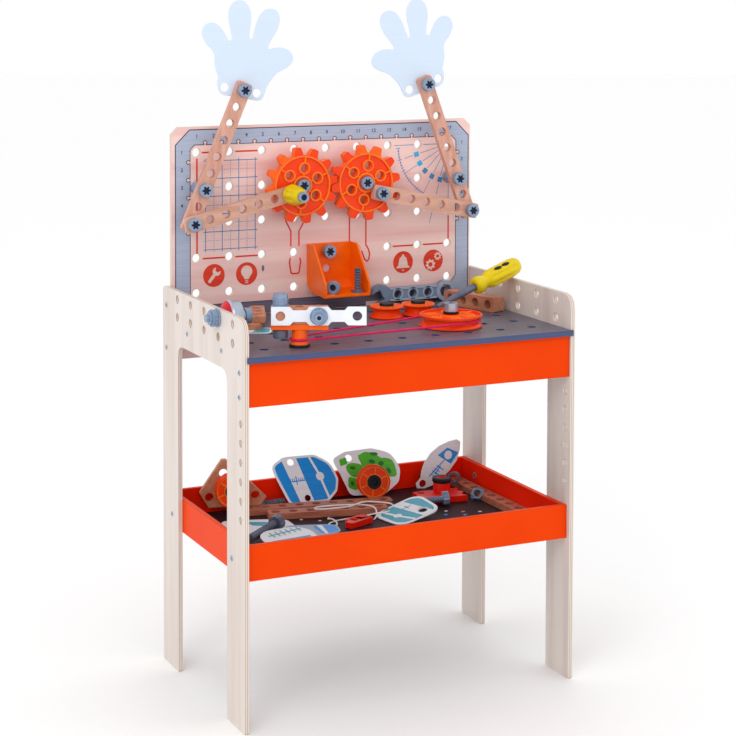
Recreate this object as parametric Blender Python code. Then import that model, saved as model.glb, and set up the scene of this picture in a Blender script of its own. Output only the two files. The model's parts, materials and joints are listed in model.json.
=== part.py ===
"""Toy workbench with a peg board, a gear-driven pair of waving hands, a belt drive and a shelf of parts.

Written in millimetres and scaled to metres when a mesh is made. X is to the right of somebody
standing in front of the bench, Y goes away from them and Z is up. The floor is z = 0.
"""
import math

import bmesh
import bpy
from mathutils import Matrix, Vector
from mathutils.geometry import tessellate_polygon

for ob in list(bpy.data.objects):
    bpy.data.objects.remove(ob, do_unlink=True)
bench = bpy.data.collections.new("toy_workbench")
cutters = bpy.data.collections.new("cutters")
for group in (bench, cutters):
    bpy.context.scene.collection.children.link(group)

# ---------------------------------------------------------------- sizes (mm)
MM = 0.001
SHIFT = Vector((5.97, 0.67, 0.0))     # puts the centre of the whole bounding box over the origin
GAP = 0.3                            # air left between neighbouring pieces
PITCH = 50.0                         # holes of the board and of the worktop
STEP = 25.0                          # holes of the strips, blocks and wheels
HOLE = 6.25                          # radius of a hole
SHAFT = HOLE - 0.75                  # radius of a bolt in such a hole
PLAY = 0.1                           # a moulded stem is this much wider than a bolt
HEAD = 9.4                           # radius of a bolt head

HALF_W = 244.2                       # outside of the side panels
PANEL_T = 6.4
INNER = HALF_W - PANEL_T             # inside of the side panels
DEPTH = 155.0                        # half the depth of the side panels
LEG_W = 61.5

TOP_Z = 488.0                        # upper face of the worktop
TOP_T = 8.0
PANEL_H = TOP_Z + 48.0
CUT_TOP = TOP_Z - 27.0               # top of the opening between the legs
APRON_H = 57.2
BOARD_Y = 137.2                      # front face of the peg board
BOARD_T = 7.0
BOARD_TOP = TOP_Z + 272.0
BOARD_LOW = TOP_Z - 56.0
ROW1_Z = BOARD_TOP - 36.5            # first row of holes of the board
ROW1_Y = -113.0                      # first row of holes of the worktop

TRAY_LOW, TRAY_TOP, TRAY_FLOOR = 196.5, 243.5, 206.5
TRAY_FRONT, TRAY_BACK = 7.0 - DEPTH, DEPTH - 4.0
WALL = 7.0
TRAY_INNER = TRAY_BACK - WALL        # the rear wall, from inside the tray

STRIP_W = 22.0
STRIP_T = 9.0
ARM_C = 22.7                         # back faces, measured forward of the board
LINK_C = ARM_C + STRIP_T + 0.5
GRIP = LINK_C + STRIP_T + 0.8        # foot of the crank handle
GEAR_C, GEAR_T = 19.5, 12.0
AXLE_Z = ROW1_Z - PITCH
GEAR_X = PITCH
CRANK_R = STEP
PIVOT_X = 4 * PITCH
LINK_LEN = 151.0
LEFT_CRANK, RIGHT_CRANK = 204.0, -38.0   # angle of the crank holes, degrees

# ---------------------------------------------------------------- surfaces
# A word in a piece's name and its linear red, green, blue, roughness and metallic.
PALE_WOOD, BEECH = (0.73, 0.62, 0.55, 0.55, 0.0), (0.60, 0.36, 0.26, 0.5, 0.0)
ORANGE, GREY = (0.89, 0.10, 0.02, 0.4, 0.0), (0.25, 0.33, 0.46, 0.4, 0.0)
YELLOW = (0.85, 0.66, 0.03, 0.35, 0.0)
SURFACES = (
    ("side_panel", PALE_WOOD), ("back_board", PALE_WOOD), ("worktop", (0.12, 0.11, 0.17, 0.5, 0.0)),
    ("shelf_board", (0.08, 0.05, 0.04, 0.6, 0.0)), ("wall", ORANGE), ("apron", ORANGE),
    ("large_pulley_bolt", (0.62, 0.62, 0.62, 0.3, 0.8)), ("bolt", GREY), ("crank_handle", YELLOW),
    ("screwdriver_handle", YELLOW), ("screwdriver_shaft", GREY), ("wrench", (0.13, 0.16, 0.20, 0.4, 0.0)),
    ("gear", ORANGE), ("pulley", ORANGE), ("wheel", ORANGE), ("spool", ORANGE), ("bin", ORANGE),
    ("flipper", ORANGE), ("belt", (0.60, 0.03, 0.07, 0.7, 0.0)), ("clip", (0.65, 0.03, 0.02, 0.4, 0.0)),
    ("hand", (0.84, 0.89, 0.94, 0.6, 0.0)), ("card", (0.84, 0.86, 0.88, 0.6, 0.0)),
    ("string", (0.85, 0.83, 0.80, 0.9, 0.0)), ("bracket", (0.82, 0.85, 0.88, 0.4, 0.0)),
    ("bell", (0.65, 0.65, 0.66, 0.3, 0.8)), ("", BEECH),
)


# ---------------------------------------------------------------- helpers
def surface(name):
    """The material of one piece, picked by the first entry of SURFACES whose word is in its name."""
    red, green, blue, roughness, metallic = next(look for word, look in SURFACES if word in name)
    mat = bpy.data.materials.new(name)
    mat.use_nodes = True
    shader = mat.node_tree.nodes["Principled BSDF"]
    shader.inputs["Base Color"].default_value = (red, green, blue, 1.0)
    shader.inputs["Roughness"].default_value = roughness
    shader.inputs["Metallic"].default_value = metallic
    mat.diffuse_color = (red, green, blue, 1.0)
    return mat


def finish(name, bm, frame=None):
    """Makes the object: its mesh stays in the piece's own frame, and the object carries the place."""
    bmesh.ops.recalc_face_normals(bm, faces=bm.faces)
    bmesh.ops.scale(bm, vec=(MM, MM, MM), verts=bm.verts)
    mesh = bpy.data.meshes.new(name)
    bm.to_mesh(mesh)
    bm.free()
    mesh.materials.append(surface(name))
    ob = bpy.data.objects.new(name, mesh)
    place = Matrix.Translation(SHIFT) @ (frame or Matrix())
    place.translation *= MM
    ob.matrix_world = place
    bench.objects.link(ob)
    return ob


def combine(ob, tool, operation="DIFFERENCE"):
    """Adds a boolean to a piece and puts the tool out of sight."""
    mod = ob.modifiers.new(operation.lower(), "BOOLEAN")
    mod.operation = operation
    mod.solver = "EXACT"
    mod.object = tool
    for col in list(tool.users_collection):
        col.objects.unlink(tool)
    cutters.objects.link(tool)
    tool.hide_render = True
    tool.display_type = "WIRE"
    return ob


def circle(x, y, r, n=12, turn=0.5):
    return [(x + r * math.cos(2 * math.pi * (k + turn) / n), y + r * math.sin(2 * math.pi * (k + turn) / n))
            for k in range(n)]


def fillet(points, radii, n=3):
    """Rounds the corners of a closed outline; radii is one number or one per corner."""
    out = []
    count = len(points)
    for i, p in enumerate(points):
        r = radii[i] if isinstance(radii, (list, tuple)) else radii
        if r <= 0:
            out.append(tuple(p))
            continue
        p = Vector(p)
        a = (Vector(points[i - 1]) - p)
        b = (Vector(points[(i + 1) % count]) - p)
        half = a.angle(b) / 2
        cut = min(r / math.tan(half), 0.49 * a.length, 0.49 * b.length)
        s, e = p + a.normalized() * cut, p + b.normalized() * cut
        for k in range(n + 1):
            t = k / n
            q = s * (1 - t) ** 2 + p * 2 * t * (1 - t) + e * t ** 2
            out.append((q.x, q.y))
    return out


def box_outline(x0, y0, x1, y1):
    return [(x0, y0), (x1, y0), (x1, y1), (x0, y1)]


def slab(name, outer, holes, low, high, frame=None):
    """A flat plate with a closed outline and through holes, from height low to height high."""
    bm = bmesh.new()
    loops = [outer] + list(holes)
    flat = [p for loop in loops for p in loop]
    bottom = [bm.verts.new((x, y, low)) for x, y in flat]
    top = [bm.verts.new((x, y, high)) for x, y in flat]
    tris = tessellate_polygon([[Vector((x, y, 0)) for x, y in loop] for loop in loops])
    for a, b, c in tris:
        bm.faces.new((bottom[a], bottom[b], bottom[c]))
        bm.faces.new((top[a], top[c], top[b]))
    start = 0
    for loop in loops:
        n = len(loop)
        for k in range(n):
            a, b = start + k, start + (k + 1) % n
            bm.faces.new((bottom[a], bottom[b], top[b], top[a]))
        start += n
    return finish(name, bm, frame)


def turned(name, profile, n=16, frame=None):
    """Turns a profile of (radius, height) about the local Z axis.

    A profile that starts and ends on the axis is solid; any other is closed into a ring.
    """
    bm = bmesh.new()
    rings = []
    for r, z in profile:
        if r < 1e-6:
            rings.append([bm.verts.new((0, 0, z))])
        else:
            rings.append([bm.verts.new((x, y, z)) for x, y in circle(0, 0, r, n, 0)])
    pairs = list(zip(rings, rings[1:]))
    if len(rings[0]) > 1 and len(rings[-1]) > 1:
        pairs.append((rings[-1], rings[0]))
    for a, b in pairs:
        for k in range(n):
            j = (k + 1) % n
            if len(a) == 1:
                bm.faces.new((a[0], b[k], b[j]))
            elif len(b) == 1:
                bm.faces.new((a[k], a[j], b[0]))
            else:
                bm.faces.new((a[k], a[j], b[j], b[k]))
    return finish(name, bm, frame)


def frame_of(origin, x_axis, y_axis):
    x = Vector(x_axis).normalized()
    z = x.cross(Vector(y_axis)).normalized()
    y = z.cross(x)
    m = Matrix((x, y, z)).transposed().to_4x4()
    m.translation = Vector(origin)
    return m


def on_board(x=0.0, z=0.0, angle=0.0):
    """Local Z counts forward from the board, local X turned by an angle seen from the front."""
    a = math.radians(angle)
    return frame_of((x, BOARD_Y, z), (math.cos(a), 0, math.sin(a)), (-math.sin(a), 0, math.cos(a)))


SIDE = frame_of((0, 0, 0), (0, 1, 0), (0, 0, 1))      # local x, y are world Y, Z; local z is world X


def upright(x, y, z=0.0):
    return Matrix.Translation((x, y, z))


def strip(name, count, length, low, high, frame, first=0.0, width=STRIP_W, n=8):
    """A flat bar with a row of holes; hole 0 is at local x = first."""
    step = length / (count - 1)
    outline = fillet(box_outline(first - 11.5, -width / 2, first + length + 11.5, width / 2), 3.5, 2)
    holes = [circle(first + step * k, 0, HOLE, n) for k in range(count)]
    return slab(name, outline, holes, low, high, frame)


# ---------------------------------------------------------------- side panels
def side_panel(name, x0):
    h, d, leg = PANEL_H, DEPTH, LEG_W
    outline = fillet(
        [(-d, 0), (-d + leg, 0), (-d + leg, CUT_TOP), (d - leg, CUT_TOP), (d - leg, 0), (d, 0), (d, h),
         (-d, h)],
        [3, 3, 18, 18, 3, 3, 8, 22], 3)
    holes = [circle(95.5 - 52.2 * k, z, HOLE - 0.15, 8) for k in range(5)
             for z in (PANEL_H - 11.7, PANEL_H - 36.7)]
    holes += [circle(-DEPTH + 14.0, CUT_TOP - 60.8 - STEP * k, 5.2, 8) for k in range(6)]
    return slab(name, outline, holes, x0, x0 + PANEL_T, SIDE)


side_panel("left_side_panel", -HALF_W)
side_panel("right_side_panel", INNER)

# ---------------------------------------------------------------- worktop, apron, board
w = INNER - 0.4
lip = -DEPTH - GAP
top_outline = [(-w, BOARD_Y - GAP), (-w, lip), (-HALF_W + 3.6, lip), (-HALF_W + 3.6, lip - 2.2),
               (HALF_W - 3.6, lip - 2.2), (HALF_W - 3.6, lip), (w, lip), (w, BOARD_Y - GAP)]
slab("worktop", top_outline,
     [circle((i - 4) * PITCH, ROW1_Y + PITCH * j, HOLE, 8) for i in range(9) for j in range(5)],
     TOP_Z - TOP_T, TOP_Z)
slab("front_apron", box_outline(-w, TOP_Z - TOP_T - GAP - APRON_H, w, TOP_Z - TOP_T - GAP), [], 0, 6.5,
     frame_of((0, -DEPTH + 9.5, 0), (1, 0, 0), (0, 0, 1)))
slab("back_board",
     [(-w, BOARD_LOW), (w, BOARD_LOW), (w, BOARD_TOP - 10), (w - 10, BOARD_TOP), (-w + 10, BOARD_TOP),
      (-w, BOARD_TOP - 10)],
     [circle((i - 4) * PITCH, ROW1_Z - PITCH * j, HOLE, 8) for i in range(9) for j in range(5)],
     -BOARD_T, 0, on_board())

# ---------------------------------------------------------------- shelf tray
slab("shelf_front_wall", box_outline(-w, TRAY_FRONT, w, TRAY_FRONT + WALL), [], TRAY_LOW, TRAY_TOP)
slab("shelf_rear_wall", box_outline(-w, TRAY_BACK - WALL, w, TRAY_BACK), [], TRAY_LOW, TRAY_TOP)
slab("shelf_left_wall", box_outline(-w, TRAY_FRONT + WALL + GAP, -w + WALL, TRAY_BACK - WALL - GAP), [],
     TRAY_LOW, TRAY_TOP)
slab("shelf_right_wall", box_outline(w - WALL, TRAY_FRONT + WALL + GAP, w, TRAY_BACK - WALL - GAP), [],
     TRAY_LOW, TRAY_TOP)
slab("shelf_board", box_outline(-w + WALL + GAP, TRAY_FRONT + WALL + GAP, w - WALL - GAP,
                                TRAY_BACK - WALL - GAP), [],
     TRAY_FLOOR - 6, TRAY_FLOOR)


# ---------------------------------------------------------------- gears and their linkages
def gear_outline(first):
    """Twelve blunt teeth with a pitch radius of 50 mm."""
    out = []
    for k in range(12):
        a = math.radians(first + 30 * k)
        for r, half in ((43.8, -7.3), (53.2, -5.0), (54.8, -3.2), (54.8, 3.2), (53.2, 5.0), (43.8, 7.3)):
            t = a + half / r
            out.append((r * math.cos(t), r * math.sin(t)))
        t = a + math.radians(15)
        out.append((43.6 * math.cos(t), 43.6 * math.sin(t)))
    return out


class Shell:
    """A stepped solid put together from flat faces and upright walls between named outlines."""

    def __init__(self, outlines):
        self.bm = bmesh.new()
        self.outlines = outlines
        self.rings = {}

    def ring(self, name, z):
        if (name, z) not in self.rings:
            self.rings[name, z] = [self.bm.verts.new((x, y, z)) for x, y in self.outlines[name]]
        return self.rings[name, z]

    def wall(self, name, low, high):
        a, b = self.ring(name, low), self.ring(name, high)
        for k in range(len(a)):
            j = (k + 1) % len(a)
            self.bm.faces.new((a[k], a[j], b[j], b[k]))

    def flat(self, z, outer, *holes):
        verts = [v for name in (outer,) + holes for v in self.ring(name, z)]
        loops = [[Vector((x, y, 0)) for x, y in self.outlines[name]] for name in (outer,) + holes]
        for tri in tessellate_polygon(loops):
            self.bm.faces.new([verts[i] for i in tri])


def gear(name, x, tooth, hole):
    """A toothed wheel with a dished face, six ringed crank holes and a boss that reaches the board."""
    ring = [(CRANK_R * math.cos(math.radians(hole + 60 * k)),
             CRANK_R * math.sin(math.radians(hole + 60 * k)))
            for k in range(6)]
    low, top = GEAR_C, GEAR_C + GEAR_T
    dish, seat = top - 2.5, GEAR_C + 9.0
    loops = {"teeth": gear_outline(tooth), "rim": circle(0, 0, 40.5, 24), "hub": circle(0, 0, 13.5, 16),
             "boss": circle(0, 0, 12, 16), "seat": circle(0, 0, 9.9, 16), "bore": circle(0, 0, HOLE, 16)}
    for k, (cx, cy) in enumerate(ring):
        loops["eye%d" % k] = circle(cx, cy, 8.4, 8)
        loops["hole%d" % k] = circle(cx, cy, HOLE, 8)
    eyes, holes = ["eye%d" % k for k in range(6)], ["hole%d" % k for k in range(6)]
    sh = Shell(loops)
    sh.flat(low, "teeth", "boss", *holes)
    sh.wall("teeth", low, top)
    sh.flat(top, "teeth", "rim")
    sh.wall("rim", dish, top)
    sh.flat(dish, "rim", "hub", *eyes)
    for eye, hole_name in zip(eyes, holes):
        sh.wall(eye, dish, top)
        sh.flat(top, eye, hole_name)
        sh.wall(hole_name, low, top)
    sh.wall("hub", dish, top)
    sh.flat(top, "hub", "seat")
    sh.wall("seat", seat, top)
    sh.flat(seat, "seat", "bore")
    sh.wall("bore", 0.8, seat)
    sh.flat(0.8, "boss", "bore")
    sh.wall("boss", 0.8, low)
    finish(name, sh.bm, on_board(x, AXLE_Z))


gear("left_gear", -GEAR_X, 8.0, LEFT_CRANK)
gear("right_gear", GEAR_X, 7.0, RIGHT_CRANK)


def board_bolt(name, x, z, parts, n=12):
    """A bolt square to the board: parts are (radius, from, to) with heights forward of the board."""
    profile = [(0, parts[0][1])]
    for r, a, b in parts:
        profile += [(r, a), (r, b)]
    profile.append((0, parts[-1][2]))
    return turned(name, profile, n, on_board(x, z))


for side, x in (("left", -GEAR_X), ("right", GEAR_X)):
    board_bolt(side + "_gear_bolt", x, AXLE_Z,
               [(SHAFT, -15, GEAR_C + 9.4), (HEAD, GEAR_C + 9.4, GEAR_C + GEAR_T + 6.2)])


def elbow(crank):
    """Where the link (151 mm) meets the short end of the arm (50 mm); left-hand half, gear at 0, 0."""
    c = Vector((CRANK_R * math.cos(math.radians(crank)), CRANK_R * math.sin(math.radians(crank))))
    p = Vector((-(PIVOT_X - GEAR_X), 0))
    d = p - c
    along = (LINK_LEN ** 2 - 50.0 ** 2 + d.length_squared) / (2 * d.length)
    up = math.sqrt(LINK_LEN ** 2 - along ** 2)
    u = d.normalized()
    e = c + u * along + Vector((-u.y, u.x)) * up
    return c, e


HAND = [(-34.6, -2.7), (-36.9, 3.8), (-36.4, 12.7), (-42.3, 21.5), (-46, 30), (-47.4, 40.3), (-52.2, 48.2),
        (-61.5, 53.4), (-69.4, 61.7), (-73, 70), (-71.3, 79.5), (-64, 85.4), (-54.2, 85.8), (-45.5, 80.9),
        (-37, 72.6), (-31.4, 65.4), (-26.8, 65.8), (-27.2, 72.6), (-32.7, 84.1), (-37.8, 96), (-39.2, 108.5),
        (-35.2, 118.6), (-28, 123.8), (-19.4, 124.4), (-10.2, 118.6), (-4.6, 109.2), (-2.6, 97.7),
        (-2.2, 84),
        (-0.6, 73.4), (3.6, 72.6), (4.3, 84), (5.4, 96.1), (8.2, 108.6), (14.6, 117.8), (22.9, 121.6),
        (32.4, 120.4),
        (38.8, 113.6), (40.7, 103), (38.2, 90), (32.6, 77.4), (29.2, 67), (31.4, 63.6), (39, 67.6),
        (49.4, 70.2),
        (61.4, 68.8), (69.8, 62), (71.2, 53.2), (65.4, 44.4), (56.5, 38), (48.6, 32.2), (43, 22),
        (38.4, 12.8),
        (36.9, 2.5), (35.4, -5.8), (30.2, -10.6), (18.5, -11), (-16.9, -11), (-23.9, -11.4), (-30.9, -8.8)]

for side, sign, crank, lean_hand in (("left", -1, LEFT_CRANK, -10.9), ("right", 1, 180 - RIGHT_CRANK, 18.0)):
    pin, elb = elbow(crank)
    mirror = -sign                                     # the sum above is for the left-hand half
    px = sign * GEAR_X + mirror * pin.x
    pz = AXLE_Z + pin.y
    ex = sign * GEAR_X + mirror * elb.x
    ez = AXLE_Z + elb.y
    vx = sign * PIVOT_X
    arm_angle = math.degrees(math.atan2(AXLE_Z - ez, vx - ex))
    link_angle = math.degrees(math.atan2(ez - pz, ex - px))
    hx = vx + 150 * math.cos(math.radians(arm_angle))
    hz = AXLE_Z + 150 * math.sin(math.radians(arm_angle))

    strip(side + "_arm", 9, 200, ARM_C, ARM_C + STRIP_T, on_board(vx, AXLE_Z, arm_angle), first=-50)
    strip(side + "_link", 7, LINK_LEN, LINK_C, LINK_C + STRIP_T, on_board(px, pz, link_angle))
    board_bolt(side + "_pivot_bolt", vx, AXLE_Z,
               [(SHAFT, -15, 0.5), (HEAD, 0.5, ARM_C - GAP), (SHAFT, ARM_C - GAP, ARM_C + STRIP_T + GAP),
                (HEAD, ARM_C + STRIP_T + GAP, ARM_C + STRIP_T + 9.5)])
    board_bolt(side + "_elbow_bolt", ex, ez,
               [(HEAD, 13, ARM_C - GAP), (SHAFT, ARM_C - GAP, ARM_C + STRIP_T - 0.5),
                (4.4, ARM_C + STRIP_T - 0.5, LINK_C + STRIP_T + GAP),
                (HEAD, LINK_C + STRIP_T + GAP, LINK_C + STRIP_T + 9.4)])
    board_bolt(side + "_hand_bolt", hx, hz,
               [(HEAD, 10.5, 19.9), (SHAFT, 19.9, ARM_C + STRIP_T + GAP),
                (HEAD, ARM_C + STRIP_T + GAP, ARM_C + STRIP_T + 9.5)])
    slab(side + "_hand", [(mirror * x, y) for x, y in HAND],
         [circle(x, 0, HOLE, 10) for x in (-STEP, 0, STEP)], 20.2, 22.2,
         on_board(hx, hz, lean_hand))
    if side == "left":
        board_bolt("left_crank_bolt", px, pz,
                   [(SHAFT, 14, LINK_C + STRIP_T + GAP), (5.0, LINK_C + STRIP_T + GAP, GRIP + 40.0),
                    (7.6, GRIP + 40.0, GRIP + 47.0)])
        turned("crank_handle",
               [(5.6, 0), (12.6, 0), (14.2, 4), (14.2, 13), (12.9, 22), (10.6, 32), (9.0, 39.6), (5.6, 39.6)],
               20, on_board(px, pz) @ upright(0, 0, GRIP))
    else:
        board_bolt("right_crank_bolt", px, pz,
                   [(SHAFT, 14, LINK_C + STRIP_T + GAP),
                    (HEAD, LINK_C + STRIP_T + GAP, LINK_C + STRIP_T + 9.4)])

# ---------------------------------------------------------------- tool bin on the board
BIN_L, BIN_R = -30.5, 40.5
BIN_Z = ROW1_Z - 3 * PITCH           # the hole that the bin hangs from
cheek = fillet([(BOARD_Y - 0.4, BIN_Z + 11.5), (BOARD_Y - 23.2, BIN_Z + 11.5), (BOARD_Y - 66.2, BIN_Z - 39.5),
                (BOARD_Y - 66.2, BIN_Z - 59.5), (BOARD_Y - 11.2, BIN_Z - 56.0),
                (BOARD_Y - 0.4, BIN_Z - 45.5)],
               [0, 2, 4, 2, 8, 3], 3)
tool_bin = slab("tool_bin", cheek, [], BIN_L, BIN_R, SIDE)
pocket = [(BOARD_Y - 3.6, BIN_Z + 26.5), (BOARD_Y - 77.2, BIN_Z + 26.5), (BOARD_Y - 77.2, BIN_Z - 55.9),
          (BOARD_Y - 13.2, BIN_Z - 52.7), (BOARD_Y - 3.6, BIN_Z - 43.5)]
combine(tool_bin, slab("bin_pocket", pocket, [], BIN_L + 2.8, BIN_R - 2.8, SIDE))
for name, z in (("bin_upper_hole", BIN_Z), ("bin_lower_hole", BIN_Z - STEP)):
    combine(tool_bin, turned(name, [(0, -2), (HOLE, -2), (HOLE, 12), (0, 12)], 12, on_board(0, z)))
board_bolt("bin_bolt", 0, BIN_Z, [(SHAFT, -15, 4), (8.0, 4, 8.2), (HEAD, 8.2, 17.6)])
turned("bin_spare_bolt", [(0, 0), (HEAD, 0), (HEAD, 9), (5.2, 9), (5.2, 33), (0, 34)], 12,
       upright(26.5, BOARD_Y - 53.2, BIN_Z - 53.9))

# ---------------------------------------------------------------- wrench leaning on the board
wrench_z = TOP_Z + 16.0
wrench = slab("wrench", box_outline(92, wrench_z - 9.8, 182, wrench_z + 9.6),
              [circle(x, wrench_z, HOLE, 10) for x in (110.8, 135.8, 160.8)], 4.5, 13.0, on_board())
combine(wrench, slab("wrench_ring", circle(190.8, wrench_z, 15.6, 20), [], 4.5, 13.0, on_board()), "UNION")
combine(wrench, slab("wrench_jaw", circle(84.5, wrench_z, 15.6, 20), [], 4.5, 13.0, on_board()), "UNION")
combine(wrench, slab("wrench_hex", circle(190.8, wrench_z, 9.9, 6, 0.2), [], 0, 20, on_board()))
combine(wrench, slab("wrench_gap", box_outline(-1.5, -8.2, 40, 8.2), [], 0, 20,
                     on_board(84.5, wrench_z, 208)))

# ---------------------------------------------------------------- crank, block and bracket on the worktop
drive_x = -3 * PITCH
drive = upright(drive_x, ROW1_Y, TOP_Z) @ Matrix.Rotation(math.radians(-23), 4, "Z")
STEM = SHAFT + PLAY
spool = turned("drive_spool",
               [(0, -18), (STEM, -18), (STEM, 0.4), (12.9, 0.4), (12.9, 3.8), (12.2, 4.2), (12.2, 7.6),
                (10.0, 8.6),
                (10.0, 24), (0, 24)], 20, drive)
combine(spool, slab("spool_bar", fillet(box_outline(-37.5, -11.1, 37.5, 11.1), 2.5, 2),
                    [circle(-STEP, 0, HOLE, 12), circle(STEP, 0, HOLE, 12)], 23, 31, drive), "UNION")
block = slab("drive_block", box_outline(-37.5, -11, 37.5, 11),
             [circle(s, 0, HOLE, 12) for s in (-STEP, 0, STEP)], 31.3, 52.8, drive)
face = drive @ frame_of((0, 0, 42.4), (1, 0, 0), (0, 0, 1))     # local z points forward of the block
combine(block, turned("block_cross_hole", [(0, -20), (HOLE, -20), (HOLE, 20), (0, 20)], 12,
                      face @ upright(STEP, 0)))
bracket_pin = face @ upright(STEP, 0)
low_edge = [(-62.2, -12.2), (-37.8, -12.2), (-33.5, -7.6), (-16.5, -7.6), (-12.2, -12.2), (12.2, -12.2),
            (16.5, -7.6), (33.5, -7.6), (37.8, -12.2), (62, -12.2)]
slab("drive_bracket", low_edge + [(x, -y) for x, y in reversed(low_edge)],
     [circle(s, 0, HOLE, 12) for s in (-50, 0, 50)], 11.5, 14.6, bracket_pin)
turned("bracket_bolt", [(0, -20), (HEAD, -20), (HEAD, -11.4), (SHAFT, -11.4), (SHAFT, 15.0), (11.2, 15.0),
                        (11.2, 24.5), (5.4, 24.5), (5.4, 30), (0, 30)], 12, bracket_pin)
turned("block_bolt", [(0, 11.4), (9.8, 11.4), (9.8, 22.6), (SHAFT, 22.6), (SHAFT, 53.2), (11.0, 53.2),
                      (11.0, 70.6), (0, 70.6)], 12, drive @ upright(-STEP, 0))

# ---------------------------------------------------------------- pulleys and the rubber band
PULLEY = (2 * PITCH, ROW1_Y + PITCH)
turned("large_pulley",
       [(HOLE, 0.8), (43.8, 0.8), (43.8, 3.4), (38.3, 6.4), (38.3, 13.2), (43.8, 15.4), (43.8, 17.8),
        (41.0, 17.8), (41.0, 15.0), (13, 15.0), (13, 17.8), (HOLE, 17.8)], 24, upright(*PULLEY, TOP_Z))
turned("large_pulley_bolt", [(0, -18), (SHAFT, -18), (SHAFT, 18.2), (9.7, 18.2), (9.7, 32.8), (0, 32.8)],
       16, upright(*PULLEY, TOP_Z))
for side, x in (("left", PITCH), ("right", 2 * PITCH)):
    turned("small_pulley_" + side,
           [(0, -18), (STEM, -18), (STEM, 0.6), (24.2, 0.6), (24.2, 2.6), (19.5, 5.6), (19.5, 11.6),
            (24.2, 14.4), (24.2, 16.4), (9.5, 16.4), (9.5, 20.6), (0, 20.6)], 16,
           upright(x, ROW1_Y + 3 * PITCH, TOP_Z))


def belt_loop(r1, r2, n=12):
    a, b = Vector((drive_x, ROW1_Y)), Vector(PULLEY)
    d = b - a
    turn = math.atan2(d.y, d.x)
    lean = math.acos((r1 - r2) / d.length)
    out = []
    for k in range(n + 1):
        t = turn + lean + (2 * math.pi - 2 * lean) * k / n
        out.append((a.x + r1 * math.cos(t), a.y + r1 * math.sin(t)))
    for k in range(2 * n + 1):
        t = turn - lean + 2 * lean * k / (2 * n)
        out.append((b.x + r2 * math.cos(t), b.y + r2 * math.sin(t)))
    return out


slab("drive_belt", belt_loop(13.8, 42.2), [belt_loop(10.5, 38.9)], 9.0, 11.8, upright(0, 0, TOP_Z))

# ---------------------------------------------------------------- beam and screwdriver
beam_dir = Vector((-0.3, 0.954, 0)).normalized()
beam = frame_of((INNER - 32.4, 4.0, TOP_Z + GAP), beam_dir,
                (0, 0, 1))     # local z points to the right of the beam
slab("beam_block", fillet(box_outline(0, 0, 100, 21.4), 1.5, 1),
     [circle(12.5 + STEP * k, 10.7, HOLE, 12) for k in range(4)], 0, 21.4, beam)

tip, end = Vector((99.0, -24.0, TOP_Z + 21.6)), Vector((247.0, 9.6, TOP_Z + 67.6))
axis = (end - tip).normalized()
side_axis = axis.cross(Vector((0, 0, 1))).normalized()
driver = frame_of(tip, side_axis, axis.cross(side_axis))
length = (end - tip).length
turned("screwdriver_shaft",
       [(0, 0), (2.6, 0), (2.9, 4), (2.9, 18), (5.2, 34), (5.2, 96), (0, 96)], 10, driver)
turned("screwdriver_handle",
       [(0, 98.4), (5.6, 98.4), (5.6, 73), (8.5, 73), (12.2, 76), (12.6, 82), (9.2, 89), (9.4, 93),
        (13.6, 102),
        (13.8, length - 14), (11.6, length - 3), (8.5, length), (0, length)], 14, driver)

# ---------------------------------------------------------------- bell on the left side panel
bell_frame = frame_of((0, 95.5 - 3 * 52.2, PANEL_H - 11.7), (0, 1, 0), (0, 0, 1))     # local z is world X
turned("bell",
       [(HOLE, GAP - INNER), (12, GAP - INNER), (23.4, 8.4 - INNER), (23.4, 9.8 - INNER), (21.0, 9.8 - INNER),
        (20.6, 23.4 - INNER), (8.5, 23.4 - INNER), (8.5, 29.8 - INNER), (HOLE, 29.8 - INNER)], 18, bell_frame)
turned("bell_bolt",
       [(0, -HALF_W - 17.8), (4.6, -HALF_W - 17.8), (4.6, -HALF_W - 9.8), (11.6, -HALF_W - 9.8),
        (11.6, -HALF_W - GAP),
        (SHAFT, -HALF_W - GAP), (SHAFT, 30.2 - INNER), (10.6, 30.2 - INNER), (10.6, 39.4 - INNER),
        (0, 39.4 - INNER)],
       12, bell_frame)

# ---------------------------------------------------------------- loose parts on the shelf
floor = TRAY_FLOOR + GAP
strip("strip_front", 7, 150, 0, STRIP_T, upright(-31.5, 59, floor) @ Matrix.Rotation(math.radians(-12.8), 4,
                                                                                     "Z"),
      first=-75)
strip("strip_back", 9, 200, 0, STRIP_T, upright(-34.6, 91.5, floor) @ Matrix.Rotation(math.radians(-10.5), 4,
                                                                                      "Z"),
      first=-100)
strip("strip_side", 9, 200, 0, STRIP_T, upright(w - WALL - 14.0, 26, floor) @ Matrix.Rotation(math.radians(-88.6), 4,
                                                                                    "Z"),
      first=-100)

stand_turn = math.radians(-13)
stand = frame_of((-152, TRAY_INNER - 22, floor + STRIP_T + GAP),
                 (math.cos(stand_turn), math.sin(stand_turn), 0),
                 (0, 0, 1))
slab("triangle_plate", [(-34.3, 0), (40.5, 0), (49.6, 12), (-8.8, 68.5), (-15.5, 68.5), (-47.3, 22)],
     [circle(-33, 15, HOLE, 10), circle(-13, 49, HOLE, 10), circle(33, 15, HOLE, 10)], -9, 0, stand)
wheel = [(HOLE, 0), (24.4, 0), (24.4, 2), (20, 5), (20, 10.4), (24.4, 13.4), (24.4, 15.4), (22.4, 15.4),
         (22.4, 13.2), (10.5, 13.2), (10.5, 16.4), (HOLE, 16.4)]
turned("wheel_on_triangle", wheel, 16, stand @ upright(-2, 26.5, 0.4))
look = frame_of((64.5, TRAY_INNER - 35, TRAY_FLOOR + 26.0), (0.97, -0.24, 0), (0.03, 0.13, 0.99))
turned("wheel_loose", wheel, 16, look @ upright(0, 0, -8))

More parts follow.
